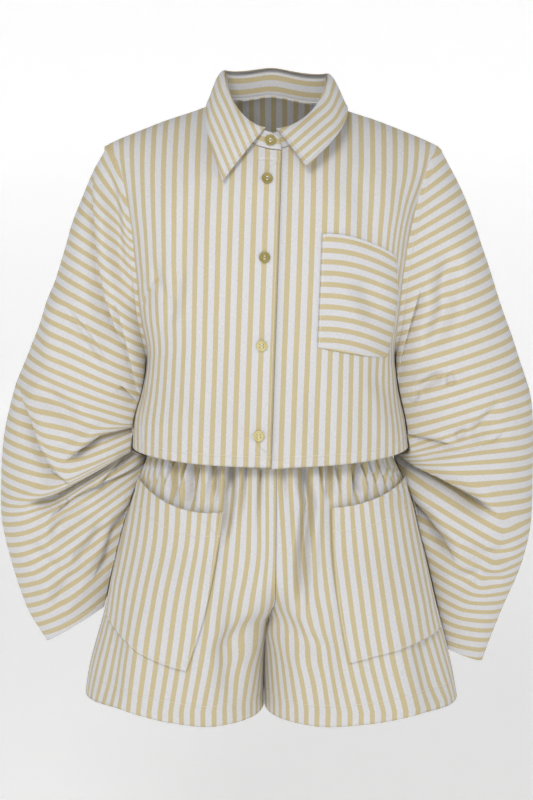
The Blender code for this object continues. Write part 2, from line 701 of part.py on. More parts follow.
def add_wall(name, surface, columns, rows, material, inside, closed=False, seams=(), **options):
    """A cloth wall on a surface of (s, t), each from 0 to 1.

    options: lift moves the outer face out by a function of (s, t, points), edge_normals replaces
    the normals of the first row, and thick is the wall's thickness.
    """
    s, t = np.meshgrid(
        np.linspace(0, 1, columns + 1)[: columns if closed else None],
        np.linspace(0, 1, rows + 1),
        indexing="ij",
    )
    points = surface(s, t)
    normals = normals_of(surface, s, t, inside)
    if "edge_normals" in options:
        normals[:, 0] = options["edge_normals"](s[:, 0])
    if "lift" in options:
        points = points + normals * options["lift"](s, t, points)[..., None]
    inner = points - normals * options.get("thick", WALL)
    trim(points, seams)
    trim(inner, seams)
    both = np.concatenate([points.reshape(-1, 3), inner.reshape(-1, 3)])
    return add_mesh(name, both, wall_faces(columns, rows, closed), material)


def make_material(name, colour, roughness):
    material = bpy.data.materials.new(name)
    material.use_nodes = True
    shader = material.node_tree.nodes["Principled BSDF"]
    shader.inputs["Base Color"].default_value = (*colour, 1)
    shader.inputs["Roughness"].default_value = roughness
    return material


def make_shirt_body(cloth):
    middle = np.array(BODY_INSIDE)
    for side, name in ((RIGHT, "shirt_front_right"), (LEFT, "shirt_front_left")):
        surface = front_surface(side)
        add_wall(name, surface, FRONT_COLUMNS, FRONT_ROWS, cloth, middle, seams=("s1", "t1"))
    seams = ("s0", "s1", "t1")
    add_wall("shirt_back", back_surface, BACK_COLUMNS, FRONT_ROWS, cloth, middle, seams=seams)


def make_sleeves(cloth):
    for side, name in ((RIGHT, "sleeve_right"), (LEFT, "sleeve_left")):
        table = SLEEVES[side]
        t = np.linspace(0, 1, SLEEVE_ROWS + 1)
        centre = [
            (table.at(t, "outer_x") + table.at(t, "inner_x")) / 2,
            table.at(t, "middle_y"),
            (table.at(t, "outer_z") + table.at(t, "inner_z")) / 2,
        ]

        def seam_normals(s, side=side):
            return armhole_ring(side, s)[1]

        add_wall(name, sleeve_surface(side), SLEEVE_COLUMNS, SLEEVE_ROWS, cloth,
                 np.stack(centre, -1)[None], closed=True, edge_normals=seam_normals)


def make_collar(cloth):
    inside = np.array([COLLAR_X, NECK_CENTRE_Y, 0.0])
    add_wall("collar_stand", stand_surface, COLLAR_COLUMNS, 2, cloth, inside)
    add_wall("collar_fall", fall_surface, COLLAR_COLUMNS, 5, cloth, inside + (0, 0, -0.05))


def make_chest_pocket(cloth):
    def lift(s, t, points):
        return np.full(s.shape, POCKET_LIFT)

    add_wall("chest_pocket", chest_pocket_surface, *CHEST_POCKET_GRID, cloth,
             np.array(BODY_INSIDE), lift=lift, thick=POCKET_WALL)


def make_button(name, surface, s, t, clear, material):
    """Four-hole button's disc with a raised rim, laid on a surface at (s, t)."""
    s, t = np.array([s]), np.array([t])
    point = surface(s, t)[0]
    normal = Vector(normals_of(surface, s, t, np.array([0.0, 0.0, point[2]]))[0])
    work = bmesh.new()
    bmesh.ops.create_cone(work, cap_ends=True, segments=BUTTON_SIDES, radius1=BUTTON_RADIUS,
                          radius2=BUTTON_RADIUS, depth=BUTTON_THICKNESS)
    face = max(work.faces, key=lambda found: found.calc_center_median().z)
    bmesh.ops.inset_individual(work, faces=[face], thickness=BUTTON_RIM, depth=-BUTTON_DISH)
    mesh = bpy.data.meshes.new(name)
    work.to_mesh(mesh)
    work.free()
    mesh.materials.append(material)
    obj = bpy.data.objects.new(name, mesh)
    obj.location = Vector(point) + normal * (clear + BUTTON_THICKNESS / 2)
    obj.rotation_euler = normal.to_track_quat("Z", "Y").to_euler()
    bpy.context.scene.collection.objects.link(obj)


def make_buttons():
    """One button on the collar stand, and the rest down the upper front."""

    def front(s, t):
        """The body as seen from the front, s metres across and t up from (FIELD_X, FIELD_Z)."""
        return body_point(*body_place(s + FIELD_X, t + FIELD_Z))

    material = make_material("button", BUTTON_COLOUR, BUTTON_ROUGHNESS)
    make_button("button_1", stand_surface, *STAND_BUTTON, STAND_BUTTON_CLEAR, material)
    for number, (z, clear) in enumerate(BUTTONS, start=2):
        x = placket_x(z) - BUTTON_FROM_EDGE
        make_button(f"button_{number}", front, x - FIELD_X, z - FIELD_Z, clear, material)


def make_shorts(cloth):
    names = {RIGHT: "right", LEFT: "left"}
    for side in (RIGHT, LEFT):
        inside = np.array(LEG_INSIDE) * (side, 1, 1)
        for faces_back in (False, True):

            def lift(s, t, points, seed=side + 3 * faces_back):
                return gather_wave(s, points[..., 2], seed)

            face = "back" if faces_back else "front"
            add_wall(f"shorts_{face}_{names[side]}", shorts_surface(side, faces_back),
                     SHORTS_COLUMNS, SHORTS_ROWS, cloth, inside, seams=("s0", "s1", "t0"),
                     lift=lift)

        def pocket_lift(s, t, points):
            mouth = MOUTH_GAPE * (1 - t) ** 3 * np.sin(np.pi * np.clip(s, *MOUTH_SPAN))
            return SHORTS_POCKET_LIFT + mouth + GATHER_DEPTH * (1 - t) ** 2

        add_wall(f"shorts_pocket_{names[side]}", shorts_pocket_surface(side), *SHORTS_POCKET_GRID,
                 cloth, inside, lift=pocket_lift, thick=POCKET_WALL)
    add_wall("waistband", waistband_surface, 2 * SHORTS_COLUMNS, 2, cloth,
             np.array(WAIST_INSIDE), closed=True)


def main():
    for obj in list(bpy.data.objects):
        bpy.data.objects.remove(obj, do_unlink=True)
    cloth = make_material("striped_cotton", CLOTH_COLOUR, CLOTH_ROUGHNESS)
    make_shirt_body(cloth)
    make_sleeves(cloth)
    make_collar(cloth)
    make_chest_pocket(cloth)
    make_buttons()
    make_shorts(cloth)


main()
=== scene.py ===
"""Looks of the striped shirt and gathered shorts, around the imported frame.

Metres, +Z up, the front faces -Y and +X is the wearer's left. The tables are written in
millimetres. Each cloth piece is a thin shell: a fine grid on the same surface as its solid, moved
in and out by its creases, with a second layer inside it. UV maps are in metres: "weave" runs across
and along the stripes, and "sewing" holds the distance to the nearest row of stitches and the length
along it.
"""

import bmesh
import bpy
import numpy as np
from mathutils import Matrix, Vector


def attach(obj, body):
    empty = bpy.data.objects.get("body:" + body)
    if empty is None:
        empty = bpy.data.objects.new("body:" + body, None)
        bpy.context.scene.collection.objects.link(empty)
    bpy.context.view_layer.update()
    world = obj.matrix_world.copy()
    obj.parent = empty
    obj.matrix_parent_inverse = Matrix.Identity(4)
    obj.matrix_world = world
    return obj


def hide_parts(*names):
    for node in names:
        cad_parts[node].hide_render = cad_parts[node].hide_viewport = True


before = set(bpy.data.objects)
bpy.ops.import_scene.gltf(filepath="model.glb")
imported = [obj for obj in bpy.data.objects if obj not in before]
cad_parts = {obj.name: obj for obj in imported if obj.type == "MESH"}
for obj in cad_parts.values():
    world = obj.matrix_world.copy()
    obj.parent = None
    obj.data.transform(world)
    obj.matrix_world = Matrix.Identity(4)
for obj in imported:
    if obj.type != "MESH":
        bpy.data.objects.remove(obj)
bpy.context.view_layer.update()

MM = 1000
# Thickness of the cloth, the repeat of its stripes, the tan share of each, and the gap at a seam
CLOTH = 0.0009
STRIPE, TAN_WIDTH = 0.0145, 0.47
SEAM_GAP = 0.0003
# Power that squares off the sections, and the depth at which the body's front and back meet
SQUARENESS = 0.87
SIDE_Y = 0.004
# Steps by which a surface's directions are found, and passes that settle a point's height
TINY, SEAM_STEP = 1e-4, 0.002
HEIGHT_PASSES = 8

RIGHT, LEFT = -1, 1
SIDES = ((RIGHT, "right"), (LEFT, "left"))
# Columns of the tables that are shares or slopes. The others are written in millimetres
SHARES = ("along", "down", "near", "far", "right_share", "left_share")


def curve(place, knots, heights):
    """Smooth curve through the points (knots, heights) that never overshoots them."""
    steps = np.diff(heights) / np.diff(knots)
    slopes = np.gradient(heights, knots)
    most = 2 * np.minimum(np.abs(steps[:-1]), np.abs(steps[1:]))
    rising = steps[:-1] * steps[1:] > 0
    slopes[1:-1] = np.where(rising, np.clip(slopes[1:-1], -most, most), 0)
    place = np.clip(place, knots[0], knots[-1])
    row = np.clip(np.searchsorted(knots, place, side="right") - 1, 0, len(knots) - 2)
    span = knots[row + 1] - knots[row]
    u = (place - knots[row]) / span
    start = (1 + 2 * u) * (1 - u) ** 2 * heights[row] + u * (1 - u) ** 2 * span * slopes[row]
    end = u**2 * (3 - 2 * u) * heights[row + 1] + u**2 * (u - 1) * span * slopes[row + 1]
    return start + end


class Table:
    """Rows of sizes under named columns, read in metres as smooth curves of the first column."""

    def __init__(self, columns, *rows):
        self.columns = columns.split()
        units = [1 if name in SHARES else MM for name in self.columns]
        self.rows = np.array(sorted(rows), float) / units

    def at(self, place, column):
        return curve(place, self.rows[:, 0], self.rows[:, self.columns.index(column)])


# Shirt body: the cloth's widest points, and how far its front and back stand out, at each height
BODY = Table(
    "z left right front back",
    (-450, -181, 180, -124, 108),
    (-400, -178, 174, -121, 104),
    (-360, -167, 165, -118, 101),
    (-317, -161, 160, -117, 100),
    (-260, -173, 171, -121, 103),
    (-200, -181, 180, -122, 108),
    (-140, -190, 190, -116, 110),
    (-90, -201, 204, -106, 104),
    (-40, -216, 222, -92, 92),
    (50, -232, 238, -72, 75),
)
# Height of the shoulder line, and of its rise under the collar, at each distance from the middle
SHOULDER = Table(
    "across z",
    (0, 30),
    (68, 8.5),
    (100, -3.5),
    (135, -15),
    (173, -29.8),
    (200, -41),
    (215, -48.5),
    (240, -62),
)
SHOULDER_ROUND, NECK_SOFT = 0.13, 0.016
HEM_FRONT_Z = -0.4425
HEM_SIDE_RISE = 0.008
HEM_SIDE_X = 0.18
UNDERLAP_DROP = 0.0025

# Armhole seam from the shoulder tip (0) to the underarm (1), as shares of the body's half-width
ARMHOLE = Table(
    "down right_share left_share",
    (0.00, 0.968, 0.980),
    (0.07, 0.944, 0.950),
    (0.20, 0.936, 0.947),
    (0.35, 0.938, 0.946),
    (0.50, 0.948, 0.939),
    (0.65, 0.958, 0.941),
    (0.80, 0.971, 0.957),
    (0.92, 0.989, 0.984),
    (1.00, 1.000, 1.000),
)
TIP_X = {RIGHT: -0.208, LEFT: 0.215}
UNDERARM_Z = {RIGHT: -0.320, LEFT: -0.312}
SIDE_SEAM_ANGLE = {RIGHT: np.radians(64), LEFT: np.radians(84)}

# Neckline, placket and overlap
COLLAR_X = 0.006
NECK_HALF = 0.067
NECK_FRONT_Z = -0.052
NECK_BACK_Z = 0.014
PLACKET_TOP_X = 0.0123
PLACKET_LEAN = 0.033
LAP = 0.024
LAP_DEPTH = 0.0042
LAP_FADE = 0.030

# Points that the body, each half of the shorts and the waistband face away from
BODY_INSIDE = (0.0, 0.0, -0.25)
LEG_INSIDE = (0.11, 0.0, -0.60)
WAIST_INSIDE = (0.0, 0.0, -0.42)

# Rows of the front's grid: its neckline starts at NECK_ROW and its armhole at UNDERARM_ROW
NECK_ROW, UNDERARM_ROW = 11 / 16, 4 / 16
# Share of the back's top edge that is one shoulder seam, before its neckline
NECK_START = 1 / 3
# Powers: how fast the neckline turns up, how late the back's columns spread to the tips, how round
# the back neckline is, and how late it starts to sink
NECK_SWEEP, BACK_SPREAD, BACK_NECK_ROUND, BACK_NECK_SINK = 1.5, 4, 2.5, 8


def blend(start, end, place):
    """0 before start, 1 after end, and a soft step between."""
    u = np.clip((place - start) / (end - start), 0, 1)
    return u * u * (3 - 2 * u)


def fades(share, ends):
    """0 before the first of four places, 1 between the middle two, and 0 past the last."""
    return blend(ends[0], ends[1], share) * (1 - blend(ends[2], ends[3], share))


def mix(first, second, share):
    return first + (second - first) * share


def power(value):
    """Signed power that squares off a circle a little, as a worn garment's section is."""
    return np.sign(value) * np.abs(value) ** SQUARENESS


def squared_angle(share):
    """The angle whose squared-off sine is the given share of a half-width."""
    share = np.clip(share, -1, 1)
    return np.arcsin(np.sign(share) * np.abs(share) ** (1 / SQUARENESS))


def shoulder_z(x):
    return SHOULDER.at(np.hypot(x, NECK_SOFT), "z")


def hem_z(x):
    return HEM_FRONT_Z + HEM_SIDE_RISE * (x / HEM_SIDE_X) ** 2


def body_middle(z):
    return (BODY.at(z, "left") + BODY.at(z, "right")) / 2


def body_half(z):
    return (BODY.at(z, "right") - BODY.at(z, "left")) / 2


def body_point(angle, height):
    """Outer face of the shirt's body.

    angle turns from centre front (0) to the wearer's left side (90 degrees) and centre back, and
    height rises from the hem (0) to the shoulder line (1).
    """
    angle, height = np.broadcast_arrays(angle, height)
    z = np.full(angle.shape, UNDERARM_Z[RIGHT])
    for _ in range(HEIGHT_PASSES):
        x = body_middle(z) + body_half(z) * power(np.sin(angle))
        z = mix(hem_z(x), shoulder_z(x), height)
    reach = np.where(np.cos(angle) > 0, BODY.at(z, "front"), BODY.at(z, "back")) - SIDE_Y
    below = np.clip((shoulder_z(x) - z) / SHOULDER_ROUND, 0, 1)
    rounding = np.sqrt(1 - (1 - below) ** 2)
    y = SIDE_Y + reach * np.abs(power(np.cos(angle))) * rounding
    return np.stack([x, y, z], -1)


def body_place(x, z, faces_back=False):
    """The angle and height of the body's point that is seen at (x, z)."""
    height = (z - hem_z(x)) / (shoulder_z(x) - hem_z(x))
    angle = squared_angle((x - body_middle(z)) / body_half(z))
    if faces_back:
        angle = np.where(angle < 0, -np.pi, np.pi) - angle
    return angle, height


def placket_x(z):
    """The edge of the upper front, which leans a little across the body."""
    return PLACKET_TOP_X + (z - NECK_FRONT_Z) * PLACKET_LEAN


def armhole_xz(side, turn):
    """The armhole seam as seen from the front; turn is 0 at the shoulder tip, 1 at the underarm."""
    down = (1 - np.cos(np.pi * turn)) / 2
    z = mix(shoulder_z(TIP_X[side]), UNDERARM_Z[side], down)
    share = ARMHOLE.at(down, "right_share" if side == RIGHT else "left_share")
    return body_middle(z) + side * share * body_half(z), z


def neckline_xz(side, turn):
    """The front neckline from the placket's edge (0) to the shoulder (1)."""
    start = placket_x(NECK_FRONT_Z) - (LAP if side == LEFT else 0)
    end = COLLAR_X + side * NECK_HALF
    sweep = (1 - (1 - turn) ** NECK_SWEEP) * np.pi / 2
    x = mix(start, end, np.sin(sweep))
    return x, mix(NECK_FRONT_Z, shoulder_z(end), 1 - np.cos(sweep))


def inner_edge(side, t):
    """Placket edge, then neckline, as angle and height, from hem (0) to shoulder (1)."""
    z = mix(HEM_FRONT_Z, NECK_FRONT_Z, np.clip(t / NECK_ROW, 0, 1))
    x = placket_x(z) - (LAP if side == LEFT else 0)
    neck_x, neck_z = neckline_xz(side, np.clip((t - NECK_ROW) / (1 - NECK_ROW), 0, 1))
    on_neck = t > NECK_ROW
    return body_place(np.where(on_neck, neck_x, x), np.where(on_neck, neck_z, z))


def outer_edge(side, t, faces_back=False):
    """Side seam, then armhole, as angle and height, from hem (0) to shoulder (1)."""
    turn = 1 - np.clip((t - UNDERARM_ROW) / (1 - UNDERARM_ROW), 0, 1)
    angle, height = body_place(*armhole_xz(side, turn), faces_back)
    # The shoulder tip lies on the shoulder line itself, so that front and back meet there
    height = np.where(turn > 0, height, 1.0)
    under_angle, under_height = body_place(*armhole_xz(side, 1.0))
    rise = np.clip(t / UNDERARM_ROW, 0, 1)
    seam_angle = mix(side * SIDE_SEAM_ANGLE[side], under_angle, rise**2)
    on_seam = t <= UNDERARM_ROW
    return np.where(on_seam, seam_angle, angle), np.where(on_seam, rise * under_height, height)


def front_surface(side):
    """Front panel, from its placket and neckline (s = 0) to its side seam and armhole (1)."""

    def surface(s, t):
        inner, outer = inner_edge(side, t), outer_edge(side, t)
        points = body_point(mix(inner[0], outer[0], s), mix(inner[1], outer[1], s))
        if side == LEFT:
            from_edge = points[..., 0] - (placket_x(points[..., 2]) - LAP)
            under = 1 - blend(LAP, LAP + LAP_FADE, from_edge)
            points[..., 1] += LAP_DEPTH * under
            points[..., 2] -= UNDERLAP_DROP * under * (1 - t) ** 2
        return points

    return surface


def back_surface(s, t):
    """Back panel, from the wearer's right side seam (s = 0) over centre back to the left (1)."""
    right = outer_edge(RIGHT, t, faces_back=True)
    left = outer_edge(LEFT, t, faces_back=True)
    start = right[0] + np.where(right[0] < 0, 2 * np.pi, 0)
    neck = [
        body_place(COLLAR_X + side * NECK_HALF, shoulder_z(COLLAR_X + side * NECK_HALF), True)[0]
        for side in (RIGHT, LEFT)
    ]
    tips = [float(outer_edge(side, np.array(1.0), True)[0]) for side in (RIGHT, LEFT)]
    top = (tips[0] + 2 * np.pi, neck[0] + 2 * np.pi, neck[1], tips[1])
    spread = np.interp(s, (0, NECK_START, 1 - NECK_START, 1), top)
    spread = (spread - top[0]) / (top[3] - top[0])
    angle = mix(start, left[0], mix(s, spread, t**BACK_SPREAD))
    height = mix(right[1], left[1], s)
    from_middle = np.clip(np.abs(s - 0.5) / (0.5 - NECK_START), 0, 1)
    drop = (shoulder_z(0.0) - NECK_BACK_Z) / (shoulder_z(0.0) - HEM_FRONT_Z)
    sink = drop * (1 - from_middle**BACK_NECK_ROUND) * t**BACK_NECK_SINK
    return body_point(angle, height * (1 - sink))


# Collar: heights of the stand, its lean, and the free edge of the turned-down part, which is
# read from the wearer's right point (0) round the back (0.5) to the left point (1)
FRONT_NECK_SHARE = 10 / 28
NECK_CENTRE_Y = -0.015
STAND_FRONT, STAND_BACK = 0.021, 0.033
STAND_RISE_PLACE = (0.05, 0.30)
STAND_CORNER = 0.035
STAND_CORNER_HEIGHT = 0.35
STAND_DRAW_IN = 0.06
STAND_SEAM_GAP = 0.0009
FALL_ENDS = (0.043, 0.968)
FALL_LIFT = 0.0032
FALL_OUT = 0.0014
FALL_BULGE = 0.005
FALL_UPWARD = 0.03
FALL_FULL_PLACE = (-0.03, 0.06)
FALL_EDGE = Table(
    "along x y z",
    (0.00, -60, -111, -89),
    (0.08, -68, -105, -64),
    (0.16, -77, -90, -36),
    (0.24, -81, -64, -13),
    (0.32, -81, -20, 6),
    (0.38, -72, 22, 9),
    (0.44, -48, 56, 1),
    (0.50, 6, 66, -3),
    (0.56, 60, 56, 1),
    (0.62, 88, 22, 6),
    (0.68, 96, -20, 1),
    (0.76, 92, -64, -15),
    (0.84, 80, -95, -34),
    (0.92, 62, -110, -53),
    (1.00, 42.6, -118, -71.6),
)

# Patch pockets as seen from the front: corners (left top, right top, right bottom, left bottom),
# then how far the top, right, bottom and left edges bow up or to the right
CHEST_POCKET = (
    ((0.0620, -0.1530), (0.1555, -0.1830), (0.1465, -0.3127), (0.0564, -0.2930)),
    (0.008, 0.006, -0.001, 0.0),
)
SHORTS_POCKETS = {
    RIGHT: (
        ((-0.1680, -0.4740), (-0.0605, -0.5030), (-0.1080, -0.7070), (-0.2140, -0.6520)),
        (-0.012, 0.007, -0.008, 0.0),
    ),
    LEFT: (
        ((0.0750, -0.4980), (0.1700, -0.4740), (0.2200, -0.6700), (0.0990, -0.6960)),
        (-0.006, 0.0, 0.002, -0.006),
    ),
}
MOUTH_GAPE = 0.0070
MOUTH_SPAN = (0.08, 0.92)

# Sleeves: outer and inner end of each ring, and its depth either side of its middle
SLEEVES = {
    RIGHT: Table(
        "along outer_x outer_z inner_x inner_z depth middle_y",
        (0.0, -208, -44.5, -160, -320, 52, 4),
        (0.1, -245, -110.5, -160, -331, 60, 6),
        (0.2, -265.5, -179, -159, -348, 66, 12),
        (0.3, -288.5, -246, -158, -368, 71, 20),
        (0.4, -315.5, -312, -159, -392, 75, 26),
        (0.5, -341, -378.5, -161, -418, 77, 30),
        (0.6, -354, -448.5, -161, -448, 77, 32),
        (0.7, -357.5, -519.5, -161, -482, 73, 32),
        (0.8, -346, -590, -170, -530, 64, 32),
        (0.9, -325, -656, -187, -586, 51, 32),
        (1.0, -300.5, -703, -202, -640, 37, 34),
    ),
    LEFT: Table(
        "along outer_x outer_z inner_x inner_z depth middle_y",
        (0.0, 215, -48.5, 159, -312, 52, 4),
        (0.1, 250, -112.5, 159, -323, 60, 6),
        (0.2, 273, -179, 158, -338, 66, 12),
        (0.3, 296, -245, 157, -356, 71, 20),
        (0.4, 321, -313, 158, -377, 75, 26),
        (0.5, 343, -382.5, 160, -402, 77, 30),
        (0.6, 346.5, -453.5, 161, -434, 77, 32),
        (0.7, 345.5, -524.5, 165, -476, 73, 32),
        (0.8, 334, -594.5, 177, -538, 64, 32),
        (0.9, 309, -661.5, 196, -618, 51, 34),
        (1.0, 284, -730, 214, -700, 36, 36),
    ),
}
CAP_LENGTH = 0.17
CAP_GAP = 1.5 * SEAM_GAP
SLEEVE_CLEAR = 0.0016
CLEAR_START = 0.10
CLEAR_GROWS = (0.0, 0.06)
# Heights between which a sleeve comes to clear the shorts and not the shirt
HEM_CLEAR_Z, SHORTS_CLEAR_Z = -0.4385, -0.4525

# Largest folds of each sleeve: a line across its front from one (x, z) to another, and then how
# wide and how deep its trough is, in millimetres. Each one deepens and dies out over the shares of
# its length that FOLD_ENDS gives
FOLD_ENDS = (-0.15, 0.15, 0.7, 1.1)
SLEEVE_FOLDS = {
    RIGHT: (
        (-236, -110, -205, -290, 18, 10),
        (-328, -372, -255, -490, 20, 11),
        (-172, -440, -310, -508, 18, 14),
        (-178, -478, -290, -560, 18, 9),
        (-190, -520, -236, -610, 16, 8),
    ),
    LEFT: (
        (236, -200, 212, -310, 18, 8),
        (165, -445, 285, -510, 18, 14),
        (190, -430, 300, -400, 17, 9),
        (188, -512, 236, -580, 17, 9),
    ),
}

# Shorts: widest points and how far front and back stand out at each height
SHORTS = Table(
    "z left right front back",
    (-790, -251, 252, -106, 116),
    (-720, -236, 236, -108, 119),
    (-660, -221, 221, -110, 122),
    (-600, -208, 207, -110, 122),
    (-545, -195, 194, -108, 118),
    (-505, -183, 184, -104, 112),
    (-475, -171, 171, -100, 106),
    (-438, -158, 155, -94, 99),
    (-400, -154, 152, -91, 96),
)
# Where each half's inner edge lies: the centre seam, then the inseam
INSEAM = Table(
    "z right left",
    (-790, -10, -8.8),
    (-700, -9.8, -8.6),
    (-660, -5, -3.8),
    (-620, 5, 5.6),
    (-400, 6.8, 7.1),
)
SHORTS_TOP_Z = -0.4380
SHORTS_HEM_Z = -0.7850
SHORTS_HEM_SIDE_RISE = {RIGHT: 0.0235, LEFT: 0.0170}
SHORTS_HEM_RISE_PLACE = (0.35, 0.72)
SHORTS_HEM_INNER_RISE = 0.004
CROTCH_START_Z = -0.545
CROTCH_Z = -0.703
SHORTS_SIDE_Y = 0.006
ROW_SPREAD = 1.25
GATHERS = 12

WAISTBAND_TOP_Z = -0.400

BUTTON_RADIUS = 0.0069
BUTTON_THICKNESS = 0.0026
STAND_BUTTON_CLEAR = 0.0006
# Height of each button on the placket, and how far it is set off the front's curve, which the
# front's flat faces lie a little inside
BUTTONS = ((-0.0860, -0.0001), (-0.1815, -0.0001), (-0.2905, 0.0003), (-0.4030, 0.0003))
STAND_BUTTON = (0.029, 0.50)
BUTTON_FROM_EDGE = 0.0163
# Place seen from the front at which the buttons' surface starts
FIELD_X, FIELD_Z = -0.5, -1.0


def leg_section(side, z):
    """Angle, middle and half-width of one half of the shorts at height z.

    Above the crotch the half runs from the centre seam (angle 0) to the side; below it the angle
    starts at the inseam (-90 degrees), and the half is a whole leg.
    """
    inner = INSEAM.at(z, "right" if side == RIGHT else "left")
    outer = SHORTS.at(z, "left" if side == RIGHT else "right")
    start = -np.pi / 2 * blend(CROTCH_START_Z, CROTCH_Z, z)
    half = (outer - inner) / (1 - power(np.sin(start)))
    return start, outer - half, half


def clear_x(side, y, z, clearance):
    """The least x, on one side, that clears the shirt's body, and below its hem the shorts."""

    def limit(table, middle, half, side_y):
        reach = np.where(y < side_y, side_y - table.at(z, "front"), table.at(z, "back") - side_y)
        across = np.clip(np.abs(y - side_y) / (reach + clearance), 0, 1)
        shape = (1 - across ** (2 / SQUARENESS)) ** (SQUARENESS / 2)
        return middle + side * (half + clearance) * shape

    _, leg_middle, leg_half = leg_section(side, z)
    upper = limit(BODY, body_middle(z), body_half(z), SIDE_Y)
    lower = limit(SHORTS, leg_middle, side * leg_half, SHORTS_SIDE_Y)
    return mix(upper, lower, blend(HEM_CLEAR_Z, SHORTS_CLEAR_Z, z))


def fold_depth(side, x, z):
    """How far the sleeve's cloth sinks at (x, z), from the table of folds."""
    depth = np.zeros(np.shape(x))
    for fold in SLEEVE_FOLDS[side]:
        from_x, from_z, to_x, to_z, width, deep = np.array(fold) / MM
        along_x, along_z = to_x - from_x, to_z - from_z
        length = np.hypot(along_x, along_z)
        share = ((x - from_x) * along_x + (z - from_z) * along_z) / length**2
        away = ((x - from_x) * along_z - (z - from_z) * along_x) / length
        depth = depth + deep * fades(share, FOLD_ENDS) * np.exp(-((away / width) ** 2))
    return depth


def armhole_ring(side, s):
    """Points round the armhole seam, the body's normals there, and the way on to the sleeve."""

    def seam(s):
        s = np.mod(s, 1)
        x, z = armhole_xz(side, 1 - np.abs(1 - 2 * s))
        front, back = body_place(x, z), body_place(x, z, True)
        angle = np.where(s < 0.5, front[0], back[0])
        return angle, np.minimum(front[1], 1 - TINY**2)

    angle, height = seam(s)
    turn = body_point(angle + TINY, height) - body_point(angle - TINY, height)
    rise = body_point(angle, height) - body_point(angle, height - TINY)
    along = body_point(*seam(s + SEAM_STEP)) - body_point(*seam(s - SEAM_STEP))
    normals = np.cross(turn, rise)
    normals /= np.linalg.norm(normals, axis=-1, keepdims=True)
    onward = np.cross(along, normals) * -side
    onward /= np.linalg.norm(onward, axis=-1, keepdims=True)
    return body_point(angle, height), normals, onward


def sleeve_surface(side):
    """Sleeve from the armhole (t = 0) to the cuff (t = 1); s turns from its outer edge."""
    table = SLEEVES[side]

    def surface(s, t):
        s, t = np.broadcast_arrays(s, t)
        turn = 2 * np.pi * s
        share = (1 - np.cos(turn)) / 2
        x = mix(table.at(t, "outer_x"), table.at(t, "inner_x"), share)
        z = mix(table.at(t, "outer_z"), table.at(t, "inner_z"), share)
        y = table.at(t, "middle_y") - table.at(t, "depth") * power(np.sin(turn))
        y = y + np.sign(np.sin(turn)) * fold_depth(side, x, z) * np.abs(np.sin(turn))
        seam, _, onward = armhole_ring(side, s)
        free = blend(0, CAP_LENGTH, t)[..., None]
        points = mix(seam + onward * CAP_GAP, np.stack([x, y, z], -1), free)
        clearance = SLEEVE_CLEAR * blend(0, CLEAR_START, t)
        least = side * clear_x(side, points[..., 1], points[..., 2], clearance)
        short = np.maximum(least - side * points[..., 0], 0) * blend(*CLEAR_GROWS, t)
        points[..., 0] += side * short
        return points

    return surface


def shorts_point(side, turn, z, faces_back):
    """Outer face of one half of the shorts; turn is 0 at its inner edge and 1 at the side seam."""
    start, middle, half = leg_section(side, z)
    angle = mix(start, np.pi / 2, turn)
    reach = SHORTS.at(z, "back" if faces_back else "front") - SHORTS_SIDE_Y
    x = middle + half * power(np.sin(angle))
    y = SHORTS_SIDE_Y + reach * np.abs(power(np.cos(angle)))
    return np.stack(np.broadcast_arrays(x, y, z), -1)


def shorts_hem_z(side, turn):
    """Height of the hem, which rises to the side seam and a little to the inseam."""
    rise = SHORTS_HEM_SIDE_RISE[side] * blend(*SHORTS_HEM_RISE_PLACE, turn)
    return SHORTS_HEM_Z + rise + SHORTS_HEM_INNER_RISE * (1 - turn) ** 3


def shorts_surface(side, faces_back):
    """Leg panel from its inner edge (s = 0) to the side seam (1), waist (t = 0) to hem (1)."""

    def surface(s, t):
        s, t = np.broadcast_arrays(s, t)
        z = mix(SHORTS_TOP_Z, shorts_hem_z(side, s), t**ROW_SPREAD)
        return shorts_point(side, s, z, faces_back)

    return surface


def front_neckline(side, share):
    """The front panel's neck edge: placket 0, shoulder 1."""
    row = mix(NECK_ROW, 1, np.clip(share, 0, 1))
    return front_surface(side)(0.0 * row, row)


def neck_ring(along):
    """Neckline from the upper front's edge (0) round the back to the lower front's edge (1)."""
    right = front_neckline(RIGHT, along / FRONT_NECK_SHARE)
    left = front_neckline(LEFT, (1 - along) / FRONT_NECK_SHARE)
    share = np.clip((along - FRONT_NECK_SHARE) / (1 - 2 * FRONT_NECK_SHARE), 0, 1)
    back = back_surface(mix(NECK_START, 1 - NECK_START, share), np.ones_like(along))
    on_right = (along < FRONT_NECK_SHARE)[..., None]
    on_left = (along > 1 - FRONT_NECK_SHARE)[..., None]
    return np.where(on_right, right, np.where(on_left, left, back))


def stand_surface(s, t):
    """Collar stand: the neckline, carried up and drawn in a little; its front ends are rounded."""
    s, t = np.broadcast_arrays(s, t)
    points = neck_ring(s).copy()
    from_end = np.minimum(s, 1 - s)
    height = mix(STAND_FRONT, STAND_BACK, blend(*STAND_RISE_PLACE, from_end))
    corner = np.clip(1 - from_end / STAND_CORNER, 0, 1)
    height = height * mix(STAND_CORNER_HEIGHT, 1, np.sqrt(1 - corner**2))
    for axis, centre in ((0, COLLAR_X), (1, NECK_CENTRE_Y)):
        points[..., axis] -= (points[..., axis] - centre) * STAND_DRAW_IN * t
    points[..., 2] += STAND_SEAM_GAP + height * t
    return points


